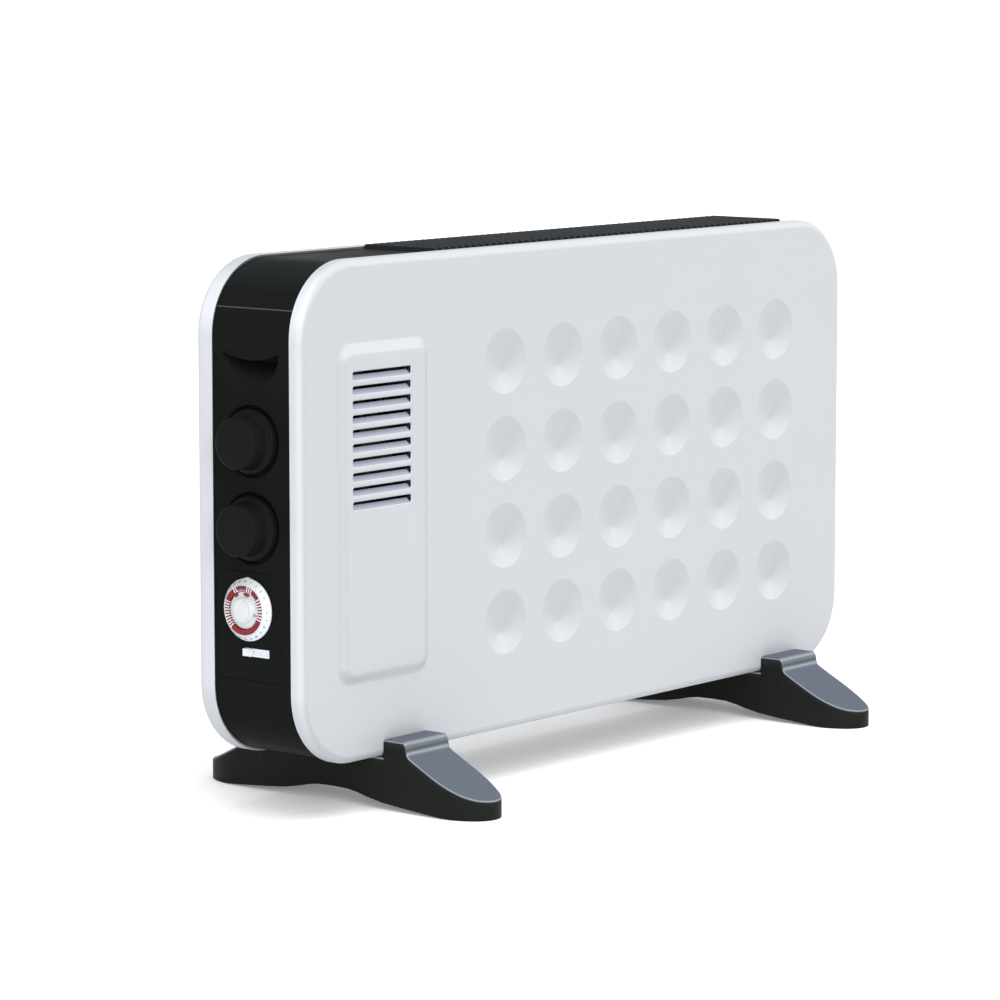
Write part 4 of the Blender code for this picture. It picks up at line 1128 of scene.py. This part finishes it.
def make_mode_switch():
    """The white switch plate with a sunk track, and the ribbed nub that slides on it."""
    low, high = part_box("mode_switch_plate")
    x = (low.x - ORIGIN.x, high.x - ORIGIN.x)
    y = (low.y, high.y)
    z = (low.z - ORIGIN.z, high.z - ORIGIN.z)
    bm = bmesh.new()
    add_box(bm, (x[0] - 0.0006, y[0], z[0]), (x[1], y[1], z[1]))
    plate = place_piece("mode_switch_face", bm, DIAL, "case", ["mode_switch_plate"])
    track = bmesh.new()
    add_box(track, (x[0] - 0.0016, y[0] + 0.0008, z[0] + 0.0012), (x[0], y[1] - 0.0008, z[1] - 0.0012))
    cut(plate, track)
    soften(plate, 0.0002, 2)
    nub_low, nub_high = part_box("mode_slider")
    low_corner = (nub_low.x - ORIGIN.x, nub_low.y, nub_low.z - ORIGIN.z)
    high_corner = (nub_high.x - ORIGIN.x, nub_high.y, nub_high.z - ORIGIN.z)
    bm = bmesh.new()
    add_box(bm, low_corner, high_corner)
    nub = place_piece("mode_slider_nub", bm, DIAL, "mode_slider", ["mode_slider"])
    grooves = bmesh.new()
    for i in (-1, 0, 1):
        y_mid = (nub_low.y + nub_high.y) / 2 + i * 0.0015
        add_box(
            grooves,
            (low_corner[0] - 0.001, y_mid - 0.0003, low_corner[2] - 0.001),
            (low_corner[0] + 0.0004, y_mid + 0.0003, high_corner[2] + 0.001),
        )
    cut(nub, grooves)
    soften(nub, 0.0002, 2)


# Feet


def level(line, y):
    """Height of a side-view line, sorted by depth, at this depth."""
    for (y0, z0), (y1, z1) in zip(line, line[1:]):
        if y <= y1:
            return z0 + (z1 - z0) * (y - y0) / (y1 - y0)
    return line[-1][1]


def foot_lines():
    """Side view of a foot as two lines of (y, z) points from the floor: underside and top."""
    length, block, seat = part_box("foot_left")[1].y, BLOCK_TOP, ORIGIN.z - GAP
    under = [(0.012, 0.0096), (0.020, 0.0084), (0.028, 0.0065), (0.040, 0.0043), (0.057, 0.0027)]
    under += [(0.075, 0.0013), (0.092, 0.0), (length, 0.0)]
    slope = [(0.0582, block - 0.0010), (0.0588, block - 0.0022), (0.0594, 0.0386), (0.0599, 0.0368)]
    slope += [(0.0609, 0.0354), (0.0630, 0.0341), (0.0700, 0.0304), (0.0780, 0.0263), (0.0860, 0.0223)]
    slope += [(0.0940, 0.0186), (0.1010, 0.0157), (0.1070, 0.0138), (length, 0.0125)]
    top = []
    for side, cradle in ((-1, GAP - FRONT), (1, REAR + GAP)):
        half = [(cradle - 0.0001, seat), (cradle, block - 0.0007), (cradle + 0.0007, block)]
        half += [(0.0574, block)] + slope
        top += [(side * y, z) for y, z in (half if side > 0 else reversed(half))]
    bottom = [(-y, z) for y, z in reversed(under)] + [(0.0, 0.0099)] + under
    return bottom, top


def foot_stations(lines, half_width, half_length):
    """Points round the foot's right half from end to end: (x, y, inward x, inward y)."""
    toe = TOE_REACH
    straight = half_length - toe
    stations = []
    for y in sorted({point[0] for line in lines for point in line if abs(point[0]) < straight}):
        stations.append((half_width, y, -1.0, 0.0))
    for end in (1, -1):
        count = 22
        for i in range(count + 1):
            angle = math.pi / 2 * i / count
            x = half_width * math.cos(angle) ** 0.92 if i < count else 0.0
            y = end * (straight + toe * math.sin(angle))
            inward = Vector((-toe * math.cos(angle), -end * half_width * math.sin(angle))).normalized()
            stations.append((x, y, inward.x, inward.y))
    return sorted(stations, key=lambda station: station[1])


def make_foot(name, node):
    """A foot whose walls follow its plan and whose upper edges are rounded all the way along."""
    low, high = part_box(node)
    half_width, half_length = (high.x - low.x) / 2, high.y
    bottom, top = foot_lines()
    steps = 5
    bm = bmesh.new()
    columns = []
    for x, y, in_x, in_y in foot_stations((bottom, top), half_width, half_length):
        column = []
        for i in range(3):
            turn = math.pi / 2 * i / 2
            inset = FOOT_LOWER_EDGE * (1 - math.sin(turn))
            z = level(bottom, y + in_y * inset) + FOOT_LOWER_EDGE * (1 - math.cos(turn))
            column.append((x + in_x * inset, y + in_y * inset, z))
        for i in range(steps + 1):
            turn = math.pi / 2 * i / steps
            inset = FOOT_EDGE * (1 - math.cos(turn))
            z = level(top, y + in_y * inset) - FOOT_EDGE * (1 - math.sin(turn))
            column.append((x + in_x * inset, y + in_y * inset, z))
        column = [(max(px, 0.0), py, pz) for px, py, pz in column]
        full = column + [(-px, py, pz) for px, py, pz in reversed(column)]
        columns.append([bm.verts.new(point) for point in full])
    bridge_all(bm, columns)
    for column in (columns[0], columns[-1]):
        bm.faces.new(column)
    bmesh.ops.remove_doubles(bm, verts=bm.verts, dist=0.00001)
    bmesh.ops.dissolve_degenerate(bm, edges=bm.edges, dist=0.000005)
    place = Vector(((low.x + high.x) / 2, 0, 0))
    foot = place_piece(name, bm, FOOT, "case", [node], at=place)
    for radius, start, end in FOOT_BORES:
        holes = bmesh.new()
        for y in (-FOOT_SCREW_Y, FOOT_SCREW_Y):
            add_prism(holes, circle((0, y), radius, 32), "Z", start, end)
        cut(foot, holes)
    foot.data.shade_smooth()
    foot.data.set_sharp_from_angle(angle=math.radians(32))


# Fasteners and gland


def make_screw(name, node, axis, centre, profile):
    """A pan-head screw with a cross recess."""
    bm = bmesh.new()
    add_turned(bm, profile, axis, centre, 40)
    screw = place_piece(name, bm, ZINC, "case", [node], sharp=45)
    top = profile[0][1]
    inward = 1 if profile[-1][1] > top else -1
    for long, short in ((0.0022, 0.0004), (0.0004, 0.0022)):
        cross = bmesh.new()
        outline = [(-long, -short), (long, -short), (long, short), (-long, short)]
        outline = [(centre[0] + a, centre[1] + b) for a, b in outline]
        add_prism(cross, outline, axis, top - inward * 0.001, top + inward * 0.0013)
        cut(screw, cross)


def make_screws():
    for number in range(1, 5):
        node = f"panel_screw_{number}"
        low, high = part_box(node)
        centre = ((low.x + high.x) / 2 - ORIGIN.x, (low.z + high.z) / 2 - ORIGIN.z)
        face = REAR + 0.0002
        profile = [(0, face + 0.0023), (0.0018, face + 0.0021), (0.0033, face + 0.0014)]
        profile += [(0.0040, face + 0.0003), (0.0040, face), (0.0014, face)]
        profile += [(0.0014, low.y), (0, low.y)]
        make_screw(f"rear_screw_{number}", node, "Y", centre, profile)
        node = f"foot_screw_{number}"
        low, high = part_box(node)
        centre = ((low.x + high.x) / 2 - ORIGIN.x, (low.y + high.y) / 2)
        head, top = low.z - ORIGIN.z, high.z - ORIGIN.z
        profile = [(0, head), (0.0020, head + 0.0002), (0.0036, head + 0.0008), (0.0040, head + 0.0015)]
        profile += [(0.0040, head + 0.0027), (0.0020, head + 0.0027), (0.0020, top), (0, top)]
        make_screw(f"underside_screw_{number}", node, "Z", centre, profile)


def make_gland():
    """The mains lead's bush: a rounded collar with an open throat."""
    low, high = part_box("cable_gland")
    centre = ((low.x + high.x) / 2 - ORIGIN.x, (low.z + high.z) / 2 - ORIGIN.z)
    face = REAR + 0.0003
    points = [
        (0.0038, high.y),
        (0.0072, high.y),
        (0.0092, face + 0.0022),
        (0.0092, face),
        (0.0066, face),
        (0.0066, low.y),
        (0.0038, low.y),
    ]
    bm = bmesh.new()
    profile = rounded_profile(points, [0.0012, 0.0010, 0.0003, 0.0, 0.0003])
    add_turned(bm, profile, "Y", centre, 64, closed=True)
    place_piece("cable_gland_bush", bm, GLAND, "case", ["cable_gland"], sharp=50)


# Stage


def make_camera():
    data = bpy.data.cameras.new("camera")
    data.lens = LENS
    data.sensor_width = 36.0
    data.clip_end = 200.0
    camera = bpy.data.objects.new("camera", data)
    azimuth, elevation = math.radians(AZIMUTH), math.radians(ELEVATION)
    level_share = math.cos(elevation)
    forward = Vector(
        (math.sin(azimuth) * level_share, math.cos(azimuth) * level_share, -math.sin(elevation))
    )
    camera.location = AIM - forward * DISTANCE
    camera.rotation_euler = forward.to_track_quat("-Z", "Y").to_euler()
    bpy.context.scene.collection.objects.link(camera)
    bpy.context.scene.camera = camera


def soft_sun(name, power, spread_angle, direction):
    data = bpy.data.lights.new(name, "SUN")
    data.energy = power
    data.angle = math.radians(spread_angle)
    lamp = bpy.data.objects.new(name, data)
    lamp.rotation_euler = Vector(direction).to_track_quat("-Z", "Y").to_euler()
    bpy.context.scene.collection.objects.link(lamp)


def make_stage():
    floor_mesh = bpy.data.meshes.new("floor")
    half = 40.0
    corners = [(-half, -half, 0), (half, -half, 0), (half, half, 0), (-half, half, 0)]
    floor_mesh.from_pydata(corners, [], [(0, 1, 2, 3)])
    material, nodes, links, shader = new_material("studio_floor")
    coordinates = nodes.new("ShaderNodeTexCoord").outputs["Object"]
    value = noise(nodes, links, coordinates, 3.0, 3.0)
    tint = blend_colours(nodes, links, value, (0.93, 0.93, 0.935), (0.95, 0.95, 0.955))
    links.new(tint, shader.inputs["Base Color"])
    shader.inputs["Roughness"].default_value = 0.9
    shader.inputs["Specular IOR Level"].default_value = 0.1
    shader.inputs["Emission Color"].default_value = (0.98, 0.99, 1.0, 1.0)
    shader.inputs["Emission Strength"].default_value = 0.20
    floor_mesh.materials.append(material)
    floor = bpy.data.objects.new("floor", floor_mesh)
    bpy.context.scene.collection.objects.link(floor)
    world = bpy.data.worlds.new("studio")
    world.use_nodes = True
    background = world.node_tree.nodes["Background"]
    background.inputs["Color"].default_value = (0.97, 0.98, 1.0, 1.0)
    background.inputs["Strength"].default_value = 0.60
    bpy.context.scene.world = world
    soft_sun("overhead", 1.7, 50, (0.10, 0.28, -1.0))
    soft_sun("fill", 1.7, 40, (0.52, 0.80, -0.42))
    bpy.context.scene.view_settings.view_transform = "Standard"


make_camera()
dress_cad_nodes()
make_front_panel()
make_outlet_louvre()
make_rear_panel()
end_cap("control", -1, control_openings)
end_cap("plain", 1, plain_openings)
make_top_grille()
make_knob("thermostat_knob_cap", "thermostat_knob", "thermostat_control")
make_knob("selector_knob_cap", "selector_knob", "selector_control")
make_fascia()
make_dial()
make_mode_switch()
make_foot("foot_left_shell", "foot_left")
make_foot("foot_right_shell", "foot_right")
make_screws()
make_gland()
make_stage()
